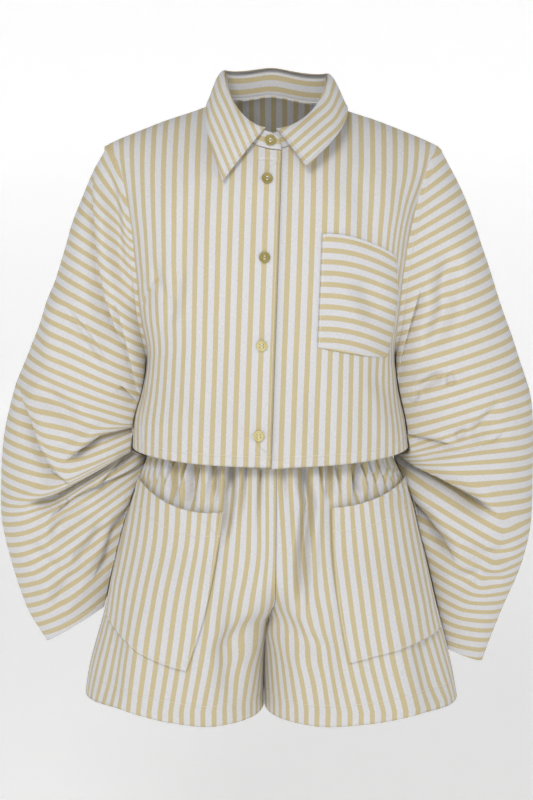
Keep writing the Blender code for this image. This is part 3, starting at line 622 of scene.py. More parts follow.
def fall_surface(s, t):
    """Turned-down collar, from its fold over the stand (t = 0) to its free edge (1)."""
    s, t = np.broadcast_arrays(s, t)
    fold = stand_surface(mix(*FALL_ENDS, s), np.ones_like(t))
    fold[..., 2] += FALL_LIFT
    edge = np.stack([FALL_EDGE.at(s, axis) for axis in ("x", "y", "z")], -1)
    points = mix(fold, edge, t[..., None])
    away = points - np.array([COLLAR_X, NECK_CENTRE_Y, 0])
    away[..., 2] = FALL_UPWARD
    away /= np.linalg.norm(away, axis=-1, keepdims=True)
    full = blend(*FALL_FULL_PLACE, np.minimum(s, 1 - s))
    bulge = FALL_BULGE * full * np.sin(np.pi * np.sqrt(t)) + FALL_OUT * (1 - t)
    return points + away * bulge[..., None]


def patch_xz(corners, s, t):
    """Seen position in a patch with four corners and edges bowed by the given heights."""
    (tl, tr, br, bl), (top, right, bottom, left) = corners
    arch_s, arch_t = 4 * s * (1 - s), 4 * t * (1 - t)
    x = mix(mix(tl[0], tr[0], s), mix(bl[0], br[0], s), t) + arch_t * mix(left, right, s)
    z = mix(mix(tl[1], tr[1], s), mix(bl[1], br[1], s), t) + arch_s * mix(top, bottom, t)
    return x, z


def chest_pocket_surface(s, t):
    return body_point(*body_place(*patch_xz(CHEST_POCKET, s, t)))


def waistband_surface(s, t):
    """Closed band from the shorts' top edge (t = 0) up; s turns once round the waist."""
    s, t = np.broadcast_arrays(s, t)
    angle = 2 * np.pi * s
    z = mix(SHORTS_TOP_Z + SEAM_GAP, WAISTBAND_TOP_Z, t)
    middle = (SHORTS.at(z, "left") + SHORTS.at(z, "right")) / 2
    half = (SHORTS.at(z, "right") - SHORTS.at(z, "left")) / 2
    reach = np.where(np.cos(angle) > 0, SHORTS.at(z, "front"), SHORTS.at(z, "back"))
    y = SHORTS_SIDE_Y + (reach - SHORTS_SIDE_Y) * np.abs(power(np.cos(angle)))
    return np.stack([middle + half * power(np.sin(angle)), y, z], -1)


# Depth of the collar's and pockets' cloth, and how far a pocket stands off its panel
COLLAR_THICK = 0.0010
CHEST_LIFT = 0.0015
SHORTS_LIFT = 0.0030

# Where the stripes start: past the placket's edge in metres, and on other pieces in repeats
STRIPE_AT_EDGE = 0.0062
BACK_START, STAND_START, FALL_START, CHEST_START = 1 / 4, 0.55, 0.35, 0.78
# Stripes down each leg: the counts of five of them, and how far across each is seen at each height
LEG_STRIPES = {
    RIGHT: ((-5, -3, 0, 4, 8), Table(
        "z seam inner middle outer last",
        (-470, 5.5, -15.4, -48.1, -96.4, -148),
        (-545, 5, -14.5, -55.7, -104, -157.3),
        (-616, 1.5, -24.3, -63.4, -119, -172),
        (-695, -17.1, -37.5, -75.3, -130.8, -185.3),
        (-762, -26.1, -47, -87, -141.6, -195),
    )),
    LEFT: ((-5, -2, 0, 4, 8), Table(
        "z seam inner middle outer last",
        (-470, 11, 48.7, 75.2, 116.3, 163),
        (-545, 16, 52.5, 76.5, 129, 176.5),
        (-616, 20, 57.7, 85.4, 140.1, 190),
        (-695, 35.5, 72.1, 98.6, 153.4, 210),
        (-762, 44.6, 86.4, 114.3, 170.8, 229),
    )),
}
# Stripes round the waistband, and how much closer than elsewhere the chest pocket's lie
WAIST_COUNT = 96
CHEST_STRIPES = 1.05
# Cloth that the left armhole draws in: how much, over what width, and between what heights
DRAWN_IN, DRAWN_WIDTH = 0.020, 0.060
DRAWN_HEIGHTS = (-0.075, -0.150, -0.300, -0.360)
# Straight stripes on the collar's leaves: the share of the fold at which they start and the share
# over which they take over, and the way that they run, seen from the front
LEAF_ENDS, LEAF_BLEND = 0.18, 0.06
LEAF_WAY = {RIGHT: (0.40, -0.92), LEFT: (-0.76, -0.65)}

# Gathers: a groove's depth, its least and greatest length and where it starts to fade, its width
# and the rise between grooves, as shares of a gather and of the depth. Past the given turns of a leg
# panel the grooves are shallower. The waistband has a share of their depth, and a pocket that lies
# over them a share of what sinks
GROOVE_DEPTH, GROOVE_LENGTHS, GROOVE_FADES = 0.0100, (0.045, 0.125), 0.02
GROOVE_WIDTH, GROOVE_RISE = 0.10, 0.20
SIDE_GROOVES, SIDE_TURNS = 0.3, (0.45, 0.90)
WAIST_WAVE, POCKET_SINKS = 0.6, 0.4

# Columns and rows of each piece's grid. The sleeve's rows lie closer at the armhole by a power
FRONT_GRID, BACK_GRID = (96, 192), (120, 128)
STAND_GRID, FALL_GRID = (196, 14), (196, 42)
CHEST_GRID, POCKET_GRID, WAIST_GRID = (72, 84), (84, 108), (288, 10)
SHORTS_GRIDS = {"front": (168, 108), "back": (108, 84)}
SLEEVE_FRONT_COLUMNS, SLEEVE_BACK_COLUMNS, SLEEVE_ROWS = 132, 48, 260
SLEEVE_ROW_SPREAD = 1.2
# Steps by which a section's length is added up, places along a sleeve's edge, and halvings that find
# a stripe there
SECTION_STEPS, EDGE_PLACES, HALVINGS = 16, 201, 14
LEAST_LENGTH = 1e-12

# How far the sleeve's cap is tucked under the armhole's edge, and how deep
CAP_TUCK, CAP_UNDER = 0.006, 0.0016
# Creases fade at the four shares of their length, a soft one's rolls lie off its line by their
# share of its width, a sharp one drops between two shares of its width, and all are deepened by a
# gain, so that soft light shows them
SOFT_ENDS, SHARP_ENDS = (-0.10, 0.30, 0.70, 1.10), (-0.05, 0.15, 0.80, 1.08)
ROLL_AWAY, OVERHANG = 1.8, (-0.08, 0.16)
SOFT_GAIN, SHARP_GAIN = 2.1, 2.3
# Height of the low swells of each kind of piece
FRONT_SWELL, BACK_SWELL, SLEEVE_SWELL, FALL_SWELL, SHORTS_SWELL = 0.0006, 0.0008, 0.0012, 0.0004, 0.0009
# Shares of the way square to the cloth that a front's creases take, and, from a sleeve's outer edge
# to its inner one, the share of the sideways and upward part that they keep
FRONT_WAYS, FREE_SHARES = (0.25, 1, 0.25), (0.62, 0.30)
# Creases start this far from a seam: on the shirt's body, and on a leg panel, where they don't end
SEWN_FLAT, LEG_SEWN = 0.012, (-0.004, 0.014)
# A sleeve's creases belong to the side that faces the viewer, over this much of the way, and calm
# down over a length at the cap and, to a share, at the cuff
FACING = (-0.15, 0.25)
CAP_CALM, CUFF_CALM, CUFF_SHARE = 0.020, 0.03, 0.35
# The collar's turned edge and a patch's rounded one: how high and how wide
COLLAR_EDGE, COLLAR_EDGE_WIDTH = 0.0008, 0.004
PATCH_EDGE, PATCH_EDGE_WIDTH = 0.0006, 0.006
# How far below the collar's middle the point lies that the turned-down part faces away from
FALL_INSIDE_DROP = 0.05

# Stripes across each sleeve. A stripe leaves the sleeve's outer edge at "along", and drops by "near"
# metres for each metre inwards, and past "turn" by "far". Each next field takes over below its fold,
# which is given as heights at places across, and over so many metres at its two ends. The number
# before each table is the width in metres over which a stripe bends
SLEEVE_STRIPES = {
    RIGHT: (
        (None, None, 0.022, Table(
            "along near far turn",
            (0.00, 1.90, 2.20, 20),
            (0.10, 0.85, 1.10, 40),
            (0.20, 0.50, 0.85, 45),
            (0.30, 0.45, 0.60, 60),
            (0.40, 0.40, 0.44, 60),
            (0.50, 0.28, 0.30, 60),
            (0.60, 0.26, 0.24, 60),
            (1.00, 0.20, 0.20, 60),
        )),
        (Table("x z", (-345, -400), (-300, -448), (-262, -447), (-238, -430),
               (-219, -416), (-160, -406)), (0.024, 0.002), 0.018, Table(
            "along near far turn",
            (0.40, 0.28, -0.30, 105),
            (0.50, 0.27, -0.36, 105),
            (0.60, 0.26, -0.42, 95),
            (0.70, 0.22, -0.42, 80),
        )),
        (Table("x z", (-345, -512), (-305, -504), (-283, -497), (-243, -476),
               (-205, -454), (-160, -432)), (0.020, 0.001), 0.018, Table(
            "along near far turn",
            (0.50, 0.05, -0.42, 30),
            (0.65, -0.06, -0.48, 30),
            (0.72, -0.16, -0.56, 35),
            (0.80, -0.28, -0.70, 40),
            (0.90, -0.42, -0.82, 45),
            (1.00, -0.48, -0.85, 50),
        )),
    ),
    LEFT: (
        (None, None, 0.022, Table(
            "along near far turn",
            (0.00, 0.80, 0.90, 20),
            (0.10, 0.55, 0.60, 40),
            (0.20, 0.42, 0.46, 45),
            (0.30, 0.33, 0.36, 60),
            (0.40, 0.28, 0.32, 60),
            (0.50, 0.13, 0.36, 60),
            (0.56, 0.04, 0.24, 75),
            (0.62, 0.00, 0.02, 80),
            (1.00, 0.00, 0.00, 80),
        )),
        (Table("x z", (150, -436), (166, -452), (186, -462), (215, -474),
               (265, -500), (285, -514), (345, -545)), (0.001, 0.022), 0.006, Table(
            "along near far turn",
            (0.50, 0.02, -0.54, 42),
            (0.66, 0.10, -0.58, 42),
            (0.74, 0.26, -0.60, 46),
            (0.80, 0.15, -0.57, 50),
            (0.86, -0.03, -0.53, 55),
            (0.92, -0.18, -0.48, 60),
            (1.00, -0.28, -0.44, 60),
        )),
    ),
}

# Creases as seen from the front, in millimetres: width, depth, the roll beside the trough, then the
# line's points. A sharp crease drops steeply from the cloth on its left, going along the line
SLEEVE_SOFT = {
    RIGHT: (
        (10, 4, 1.5, (-211, -67), (-197, -128), (-192, -184), (-185, -232)),
        (14, -4, 0, (-271, -228), (-278, -269), (-281, -311), (-277, -339)),
        (12, 4, 1, (-297, -353), (-264, -384), (-243, -406)),
        (4, 2.2, 0.8, (-262, -251), (-232, -288), (-208, -325)),
        (9, 4, 1.2, (-232, -509), (-255, -521), (-274, -539), (-288, -558)),
        (8, 4.2, 1.5, (-213, -533), (-233, -561), (-256, -587)),
        (10, 3, 1, (-250, -600), (-275, -628), (-288, -655)),
        (12, 3, 1, (-320, -560), (-290, -590), (-262, -610)),
    ),
    LEFT: (
        (12, 4.5, 1.5, (228, -177), (217, -224), (218, -252), (201, -308)),
        (5, 3, 1, (227, -334), (229, -351)),
        (6, 4, 1, (219, -333), (199, -347), (187, -358)),
        (7, 2.6, 0.8, (295, -372), (269, -402), (260, -418)),
        (5, 2.8, 0.8, (249, -407), (238, -420)),
        (10, 3.5, 1.2, (250, -560), (275, -578), (312, -572)),
        (10, 3, 1, (240, -610), (272, -600), (300, -615)),
    ),
}
SLEEVE_SHARP = {
    RIGHT: (
        (12, 6, 2, (-226, -83), (-227, -122), (-224, -162), (-220, -199), (-212, -241), (-200, -276),
         (-186, -299)),
        (11, 5, 1.5, (-198, -246), (-186, -294), (-176, -345), (-169, -366)),
        (15, 7, 3, (-326, -360), (-311, -394), (-302, -428), (-280, -466), (-262, -480)),
        (5, 4.5, 1, (-192, -351), (-185, -360), (-173, -374)),
        (9, 10, 3, (-262, -447), (-240, -431), (-219, -416), (-190, -410), (-150, -406)),
        (10, 11, 4, (-318, -507), (-283, -497), (-243, -476), (-205, -454), (-167, -435), (-145, -424)),
        (7, 4.5, 1.5, (-226, -486), (-216, -475), (-189, -446)),
        (9, 6, 2, (-290, -528), (-264, -501), (-216, -481), (-171, -462), (-150, -452)),
        (8, 6, 2, (-231, -606), (-220, -579), (-208, -540), (-183, -509), (-165, -490)),
    ),
    LEFT: (
        (10, 5, 1, (163, -352), (170, -304), (179, -266), (190, -225)),
        (4, 2.4, 0.6, (187, -356), (189, -365), (185, -373), (172, -373)),
        (8, 5, 1.5, (150, -413), (177, -418), (202, -422), (236, -429)),
        (6, 2.2, 0.8, (196, -442), (248, -435), (287, -422), (304, -407)),
        (12, 15, 4, (130, -424), (156, -439), (166, -450), (186, -462), (215, -474), (265, -500),
         (286, -515)),
        (9, 13, 4, (158, -478), (183, -505), (206, -530), (226, -558), (236, -578)),
    ),
}
FRONT_SOFT = (
    (6, 2, 0.8, (-147, -193), (-141, -210), (-128, -242), (-125, -250)),
    (8, 2.5, 1, (-111, -193), (-122, -244), (-131, -269)),
    (12, 3, 1, (140, -313), (137, -337), (155, -363), (172, -413)),
    (14, 2.5, 1, (111, -205), (133, -264)),
    (16, 1.8, 0.8, (-90, -90), (-105, -150), (-100, -200)),
    (16, 1.6, 0.8, (105, -80), (120, -130), (118, -170)),
    (18, 1.5, 0.8, (-60, -260), (-75, -340), (-70, -420)),
    (20, 1.6, 0.8, (50, -330), (60, -390), (55, -430)),
)
FRONT_SHARP = (
    (6, 2.8, 0.8, (-163, -246), (-158, -231), (-150, -222), (-139, -207)),
)
BACK_SOFT = (
    (18, 3, 1.2, (-150, -110), (-120, -190), (-110, -280)),
    (18, 3, 1.2, (155, -100), (128, -180), (120, -270)),
    (20, 2.6, 1, (-60, -250), (-70, -340), (-60, -430)),
    (20, 2.6, 1, (50, -230), (62, -330), (70, -430)),
    (12, 2.4, 1, (-165, -290), (-120, -320), (-80, -330)),
    (12, 2.4, 1, (165, -300), (120, -335), (85, -350)),
    (16, 2, 0.8, (-100, -40), (-40, -70), (30, -72), (95, -45)),
)
SHORTS_SOFT = (
    (5, 4.5, 1.2, (-119, -430), (-125, -490)),
    (6, 5.5, 1.5, (-94, -430), (-104, -500)),
    (4, 4.5, 1.2, (-67, -430), (-70, -486)),
    (6, 6, 2, (-49, -430), (-52, -485), (-60, -540)),
    (7, 8, 2.5, (34, -430), (47, -492), (40, -551), (38, -632)),
    (5, 5, 1.5, (71, -430), (74, -488)),
    (5, 5, 1.5, (104, -430), (110, -490)),
    (16, 3.5, 1.5, (-40, -560), (-48, -650), (-52, -760)),
    (18, 3.5, 1.5, (-195, -620), (-205, -700), (-212, -770)),
    (18, 3.5, 1.5, (62, -600), (70, -690), (66, -770)),
    (20, 4, 1.5, (190, -640), (205, -710), (214, -770)),
    (14, 3, 1.2, (-10, -640), (-35, -668), (-75, -690)),
    (14, 3, 1.2, (12, -640), (40, -672), (80, -690)),
)
# How far below those of its front a sleeve's back creases lie, and their share of the depth
BACK_SHIFT, BACK_SHARE = 0.021, 0.8

# Length of one stitch, and how far each row of stitches is from its edge
STITCH = 0.0028
HEM_STITCH = 0.0135
EDGE_STITCH = 0.0025
SLEEVE_HEM_STITCH = 0.0110
SHORTS_HEM_STITCH = 0.0280
POCKET_HEM_STITCH = 0.0300
CHEST_HEM_STITCH = 0.0040
COLLAR_STITCH = 0.0050
SEAM_STITCH = 0.0060
NO_STITCH = 0.05
# Row of stitches across the placket, under the collar stand, and how a seam sinks
BAR_Z, BAR_LENGTH = -0.0625, 0.030
SEAM_DIP, SEAM_DIP_WIDTH = 0.0004, 0.0020

# Buttons: columns, then the profile from the face's middle to the back's, as shares of the radius
# and thickness, and the height of the dished face's middle
BUTTON_TURNS = 72
BUTTON_PROFILE = (
    (0.00, 0.60), (0.10, 0.60), (0.35, 0.60), (0.55, 0.63), (0.66, 0.74), (0.74, 0.92), (0.82, 1.00),
    (0.90, 0.99), (0.97, 0.86), (1.00, 0.62), (0.98, 0.34), (0.92, 0.10), (0.80, 0.00), (0.00, 0.00),
)
BUTTON_DISH, BUTTON_LIFT = 0.60, 0.0006
PALE_BUTTONS = (4, 5)
# Holes: their offset and radius as shares of the button's radius, how high their floors of painted
# shade start as a share of the face's height, the floors' thickness, their columns and their profile
HOLE_OFFSET, HOLE_RADIUS, HOLE_BASE, HOLE_HIGH = 0.25, 0.12, 0.9, 0.0004
HOLE_TURNS = 24
HOLE_PROFILE = ((0.0, 1.0), (0.9, 1.0), (1.0, 0.5), (1.0, 0.0), (0.0, 0.0))
# Thread through the holes: its radius, how high it bows, how far its ends sink, its points and
# sides, and a way that no thread runs
THREAD_RADIUS, THREAD_HIGH, THREAD_SUNK = 0.00045, 0.0003, 0.0001
THREAD_POINTS, THREAD_SIDES = 9, 10
SLANT = (0.3, 0.9, 0.2)
# Step by which a button's frame is found, and the distance at which points are one
NUDGE, MERGE = 0.004, 1e-6

TAN, TAN_DARK, PALE, PALE_FLECK, THREAD = "#CABC98", "#C0B28B", "#DDDBDA", "#C9C9CD", "#DED8C8"
# Noise repeats per metre across and along the stripes: slubs, which make the stripes' edges wander by
# a share of the repeat, and flecks of warp and of weft. The real yarns are 0.3 mm apart, which is too
# fine to show, so the flecks are drawn at about 0.8 mm
SLUB_SCALE, WARP_SCALE, WEFT_SCALE = (2600, 130, 1), (1300, 260, 1), (240, 1250, 1)
WANDER = 0.05
# Where the repeat turns tan and pale again, and the sums of both flecks that are darkest and palest
TAN_EDGES = ((0.02, 0), (0.05, 1), (TAN_WIDTH, 1), (TAN_WIDTH + 0.03, 0))
FLECK_LOW, FLECK_HIGH = 0.86, 1.22
# How strongly a stitch shows, how wide its pucker is, and the grain's share and depth in metres
THREAD_SHOWS, PUCKER_WIDTH = 0.75, 0.0022
GRAIN_SHARE, GRAIN_DEPTH = 0.25, 0.0010
# Streaks of the buttons, in noise repeats per metre: clouds of about 4 mm
CLOUD_SCALE = 260.0

# Studio: the bowl of paper's floor, flat radius, rounding and height, a hole at its middle that
# nothing shows, and its steps; then how strongly the paper and the sky glow
FLOOR_Z, BOWL_FLAT, BOWL_ROUND, BOWL_HIGH, BOWL_HOLE = -1.25, 6.0, 1.2, 3.6, 0.001
BOWL_TURNS, BOWL_STEPS = 96, 13
PAPER_GLOW, SKY = 0.34, 0.27
# Lamps: name, place, size and watts, all aimed at one point
AIM = (0.0, 0.0, -0.40)
LAMPS = (
    ("key", (-0.6, -2.5, 1.15), (0.9, 0.9), 33.0),
    ("fill", (1.5, -2.2, 0.3), (1.6, 2.0), 6.0),
)
# The camera of the photograph, as far as its edges tell: a long lens, a little above the middle
CAMERA_PLACE, CAMERA_AIM = (-0.006, -2.5, -0.02), (-0.006, 0.0, -0.375)
LENS, FILM_HEIGHT = 87.4, 36.0


def along_line(x, z, points):
    """Signed distance from a broken line, positive on its left, and the share of its length."""
    lengths = np.linalg.norm(np.diff(points, axis=0), axis=1)
    total = lengths.sum()
    best = np.full(np.shape(x), np.inf)
    signed = np.zeros(np.shape(x))
    share = np.zeros(np.shape(x))
    done = 0.0
    for number, length in enumerate(lengths):
        way = (points[number + 1] - points[number]) / length
        from_x = x - points[number, 0]
        from_z = z - points[number, 1]
        run = from_x * way[0] + from_z * way[1]
        side = from_z * way[0] - from_x * way[1]
        away = np.hypot(run - np.clip(run, 0, length), side)
        closer = away < best
        best = np.where(closer, away, best)
        signed = np.where(closer, np.where(side < 0, -away, away), signed)
        share = np.where(closer, (done + run) / total, share)
        done += length
    return signed, share


def soft_form(away, width, depth, roll):
    """Rounded trough: a bell of the given width and depth, between two lower rolls."""
    rolls = roll * np.exp(-(((np.abs(away) - ROLL_AWAY * width) / width) ** 2))
    return rolls - depth * np.exp(-((away / width) ** 2))


def sharp_form(away, width, depth, roll):
    """Tucked fold: the cloth on the left overhangs, and the other side climbs out slowly."""
    upper = blend(OVERHANG[0] * width, OVERHANG[1] * width, away)
    lip = roll * np.exp(-(((away - width) / width) ** 2)) * upper
    return lip - depth * np.exp(-np.abs(away) / width) * (1 - upper)


def creases(x, z, table, form, ends, gain):
    """Height of a table's creases at (x, z): each one's form across its line, fading at its ends."""
    height = np.zeros(np.shape(x))
    for width, depth, roll, *line in table:
        away, share = along_line(x, z, np.array(line) / MM)
        height = height + fades(share, ends) * form(away, width / MM, depth / MM, roll / MM)
    return height * gain


def crease_relief(x, z, soft, sharp=()):
    """Height of the soft and the sharp creases together at (x, z)."""
    rounded = creases(x, z, soft, soft_form, SOFT_ENDS, SOFT_GAIN)
    return rounded + creases(x, z, sharp, sharp_form, SHARP_ENDS, SHARP_GAIN)


def uneven(u, v, seed, amount):
    """Low swells of cloth that is never quite smooth: three waves, of 31, 29 and 75 radians a metre."""
    first = np.sin(31 * u + 9 * np.sin(7 * v + seed) * 0.15 + 1.3 * seed)
    second = np.sin(23 * v + 17 * u + 2.1 * seed)
    third = np.sin(61 * u - 43 * v + 0.7 * seed)
    return amount * (0.5 * first + 0.35 * second + 0.25 * third)


def girth_lengths(points):
    """Length along each column of a grid, from its first point."""
    steps = np.linalg.norm(np.diff(points, axis=0), axis=-1)
    return np.concatenate([np.zeros((1, points.shape[1])), np.cumsum(steps, axis=0)])


def row_lengths(points):
    """Length along each row of a grid, from its first point."""
    steps = np.linalg.norm(np.diff(points, axis=1), axis=-1)
    return np.concatenate([np.zeros((points.shape[0], 1)), np.cumsum(steps, axis=1)], axis=1)


def measured(points):
    """Lengths across and up a grid, and how far each point is from its nearer side and last row."""
    across, up = girth_lengths(points), row_lengths(points)
    return across, up, np.minimum(across, across[-1] - across), up[:, -1:] - up


def section_length(point, start, end):
    """Length round a level section, from one place on it to another, by equal steps of the place."""
    total, before = 0.0, point(start)
    for share in np.linspace(0, 1, SECTION_STEPS + 1)[1:]:
        after = point(mix(start, end, share))
        total = total + np.linalg.norm((after - before)[..., :2], axis=-1)
        before = after
    return total


def nearest_stitches(*rows):
    """The nearest of several rows of stitches, each (distance, length along), as sewing UVs."""
    distances = np.stack(np.broadcast_arrays(*[row[0] for row in rows]))
    lengths = np.stack(np.broadcast_arrays(*[row[1] for row in rows]))
    pick = np.abs(distances).argmin(axis=0)[None]
    found = [np.take_along_axis(field, pick, axis=0)[0] for field in (distances, lengths)]
    return np.stack(found, -1)


def seam_dip(distance):
    """Cloth sinks a little where it is sewn to its neighbour: a bell across the seam."""
    return -SEAM_DIP * np.exp(-((distance / SEAM_DIP_WIDTH) ** 2))


def outward_normals(points, inside, closed=False):
    """Unit normals of a grid, away from the point inside it, and whether they run s cross t."""
    if closed:
        across = np.roll(points, -1, 0) - np.roll(points, 1, 0)
    else:
        across = np.gradient(points, axis=0)
    normals = np.cross(across, np.gradient(points, axis=1))
    normals /= np.maximum(np.linalg.norm(normals, axis=-1, keepdims=True), LEAST_LENGTH)
    forward = np.sum(normals * (points - inside)) > 0
    return (normals if forward else -normals), forward


def shell_faces(columns, rows, closed):
    """Corners of a thin shell's faces, as places on a grid with a doubled layer: outer, inner, rim.

    Each corner is (column, row, layer), and a closed shell's last column is its first.
    """
    i, j = np.meshgrid(np.arange(columns), np.arange(rows), indexing="ij")
    corners = ((0, 0), (1, 0), (1, 1), (0, 1))
    outer = np.stack([np.stack([i + a, j + b, 0 * i], -1) for a, b in corners], -2)
    outer = outer.reshape(-1, 4, 3)
    faces = [outer, outer[:, ::-1] + (0, 0, 1)]
    corners = ((0, 0), (0, 1), (1, 1), (1, 0))
    i, j = np.arange(columns), np.arange(rows)
    for row, way in ((0, -1), (rows, 1)):
        edge = [np.stack([i + a, 0 * i + row, 0 * i + b], -1) for a, b in corners]
        faces.append(np.stack(edge, -2)[:, ::way])
    for column, way in () if closed else ((0, 1), (columns, -1)):
        edge = [np.stack([0 * j + column, j + a, 0 * j + b], -1) for a, b in corners]
        faces.append(np.stack(edge, -2)[:, ::way])
    return np.concatenate(faces)


def make_cloth(node, points, weave, sewing, inside, material, closed=False, thick=CLOTH):
    """Thin closed shell on a grid, standing for a node of the frame, in that node's finish.

    It has an outer layer, the same grid moved in by the cloth's thickness, and a rim.
    """
    normals, forward = outward_normals(points, inside, closed)
    weave = np.stack(weave, -1)
    columns, rows = weave.shape[0] - 1, weave.shape[1] - 1
    faces = shell_faces(columns, rows, closed)
    if not forward:
        faces = faces[:, ::-1]
    across = columns if closed else columns + 1
    layers = np.stack([points, points - normals * thick])
    index = (faces[..., 2] * across + faces[..., 0] % across) * (rows + 1) + faces[..., 1]
    mesh = bpy.data.meshes.new(node + "_cloth")
    mesh.vertices.add(layers.size // 3)
    mesh.vertices.foreach_set("co", layers.reshape(-1).astype(np.float32))
    mesh.loops.add(index.size)
    mesh.loops.foreach_set("vertex_index", index.reshape(-1).astype(np.int32))
    mesh.polygons.add(len(faces))
    mesh.polygons.foreach_set("loop_start", np.arange(0, index.size, 4, dtype=np.int32))
    mesh.update(calc_edges=True)
    for uv_name, field in (("weave", weave), ("sewing", sewing)):
        layer = mesh.uv_layers.new(name=uv_name)
        values = field[faces[..., 0], faces[..., 1]].reshape(-1).astype(np.float32)
        layer.uv.foreach_set("vector", values)
    mesh.validate()
    mesh.shade_smooth()
    piece = put_in_scene(node + "_cloth", mesh)
    piece.data.materials.append(material)
    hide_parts(node)
    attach(piece, "root")
    return piece


def put_in_scene(name, data):
    thing = bpy.data.objects.new(name, data)
    bpy.context.scene.collection.objects.link(thing)
    return thing


def make_grid(columns, rows):
    return np.meshgrid(np.linspace(0, 1, columns + 1), np.linspace(0, 1, rows + 1), indexing="ij")


def body_relief(x, z, faces_back):
    """Height of the shirt body's creases at a place seen from the front, or from the back."""
    if faces_back:
        return crease_relief(x, z, BACK_SOFT) + uneven(x, z, 4, BACK_SWELL)
    return crease_relief(x, z, FRONT_SOFT, FRONT_SHARP) + uneven(x, z, 1, FRONT_SWELL)


def make_fronts(cloth):
    for side, name in SIDES:
        s, t = make_grid(*FRONT_GRID)
        points = front_surface(side)(s, t)
        x, z = points[..., 0], points[..., 2]
        normals, _ = outward_normals(points, BODY_INSIDE)
        across, up, _, from_top = measured(points)
        flat = girth_lengths(points[..., :2])
        from_seam = across[-1] - across
        on_seam = np.minimum(from_seam, from_top)
        relief = body_relief(x, z, False) * blend(0, SEWN_FLAT, on_seam) + seam_dip(on_seam)
        points = points + normals * FRONT_WAYS * relief[..., None]
        # Stripes run down, counted from the upper front's edge
        lap = LAP if side == LEFT else 0
        start = np.where(t[0] > NECK_ROW, np.abs(x[0] - (placket_x(z[0]) - lap)), 0)
        u = (side * (flat + start) - lap) + STRIPE_AT_EDGE
        if side == LEFT:
            u = u + DRAWN_IN * fades(z, DRAWN_HEIGHTS) * blend(DRAWN_WIDTH, 0, from_seam)
        rows = [(HEM_STITCH - up, across), (from_seam - SEAM_STITCH, up)]
        if side == RIGHT:
            on_edge = np.where(t <= NECK_ROW, across, NO_STITCH)
            rows.append((on_edge - EDGE_STITCH, up))
            rows.append((np.where(across < BAR_LENGTH, z - BAR_Z, NO_STITCH), across))
        piece = make_cloth(f"shirt_front_{name}", points, (u, z), nearest_stitches(*rows),
                           BODY_INSIDE, cloth)


def from_centre_back(x, z):
    """Length round the body's section from the centre back to (x, z), negative on the right."""
    angle, height = body_place(x, z, True)
    centre = np.where(angle < 0, -np.pi, np.pi)
    length = section_length(lambda place: body_point(place, height), centre, angle)
    return length * np.sign(x - body_middle(z))


def make_back(cloth):
    points = back_surface(*make_grid(*BACK_GRID))
    x, z = points[..., 0], points[..., 2]
    normals, _ = outward_normals(points, BODY_INSIDE)
    across, up, from_seam, from_top = measured(points)
    on_seam = np.minimum(from_seam, from_top)
    relief = body_relief(x, z, True) * blend(0, SEWN_FLAT, on_seam) + seam_dip(on_seam)
    points = points + normals * relief[..., None]
    sewing = nearest_stitches((HEM_STITCH - up, across), (from_seam - SEAM_STITCH, up))
    weave = (from_centre_back(x, z) + STRIPE * BACK_START, z)
    piece = make_cloth("shirt_back", points, weave, sewing, BODY_INSIDE, cloth)


def stripe_field(side, table, bend, x, z):
    """Length along the sleeve's outer edge at which the stripe through (x, z) leaves that edge.

    The stripe is found by halving: the place along the edge whose stripe passes through the point.
    """
    edge = SLEEVES[side]
    places = np.linspace(0, 1, EDGE_PLACES)
    edge_x, edge_z = edge.at(places, "outer_x"), edge.at(places, "outer_z")
    steps = np.hypot(np.diff(edge_x), np.diff(edge_z))
    lengths = np.concatenate([[0], np.cumsum(steps)])

    def above(t):
        inward = np.maximum(side * (np.interp(t, places, edge_x) - x), 0)
        near, far, turn = (table.at(t, name) for name in ("near", "far", "turn"))
        past = inward - turn
        bent = (past + np.sqrt(past**2 + bend**2)) / 2
        drop = near * inward + (far - near) * bent
        slope = mix(near, far, blend(-bend, bend, past))
        return z - (np.interp(t, places, edge_z) - drop), slope

    low, high = np.zeros_like(x), np.ones_like(x)
    for _ in range(HALVINGS):
        middle = (low + high) / 2
        over = above(middle)[0] > 0
        high = np.where(over, middle, high)
        low = np.where(over, low, middle)
    left_over, slope = above(middle)
    return np.interp(middle, places, lengths) - left_over / np.sqrt(1 + slope**2)


def sleeve_stripes(side, x, z):
    """Stripes across a sleeve: each field takes over below its fold."""
    found = None
    for fold, soft, bend, table in SLEEVE_STRIPES[side]:
        field = stripe_field(side, table, bend, x, z)
        if fold is None:
            found = field
            continue
        below = fold.at(x, "z") - z
        share = (x - fold.rows[0, 0]) / (fold.rows[-1, 0] - fold.rows[0, 0])
        width = mix(soft[0], soft[1], np.clip(share, 0, 1) ** 3)
        found = mix(found, field, blend(-width, width, below))
    return found


def sleeve_relief(side, x, z, facing, from_cap, from_cuff):
    """Creases of the sleeve's front, again lower and weaker on its back, and calmer at both ends."""
    tables = SLEEVE_SOFT[side], SLEEVE_SHARP[side]
    ahead = blend(*FACING, facing) * crease_relief(x, z, *tables)
    behind = blend(*FACING, -facing) * crease_relief(x, z + BACK_SHIFT, *tables)
    relief = ahead + behind * BACK_SHARE + uneven(x, z, side, SLEEVE_SWELL)
    return relief * blend(0, CAP_CALM, from_cap) * mix(CUFF_SHARE, 1, blend(0, CUFF_CALM, from_cuff))


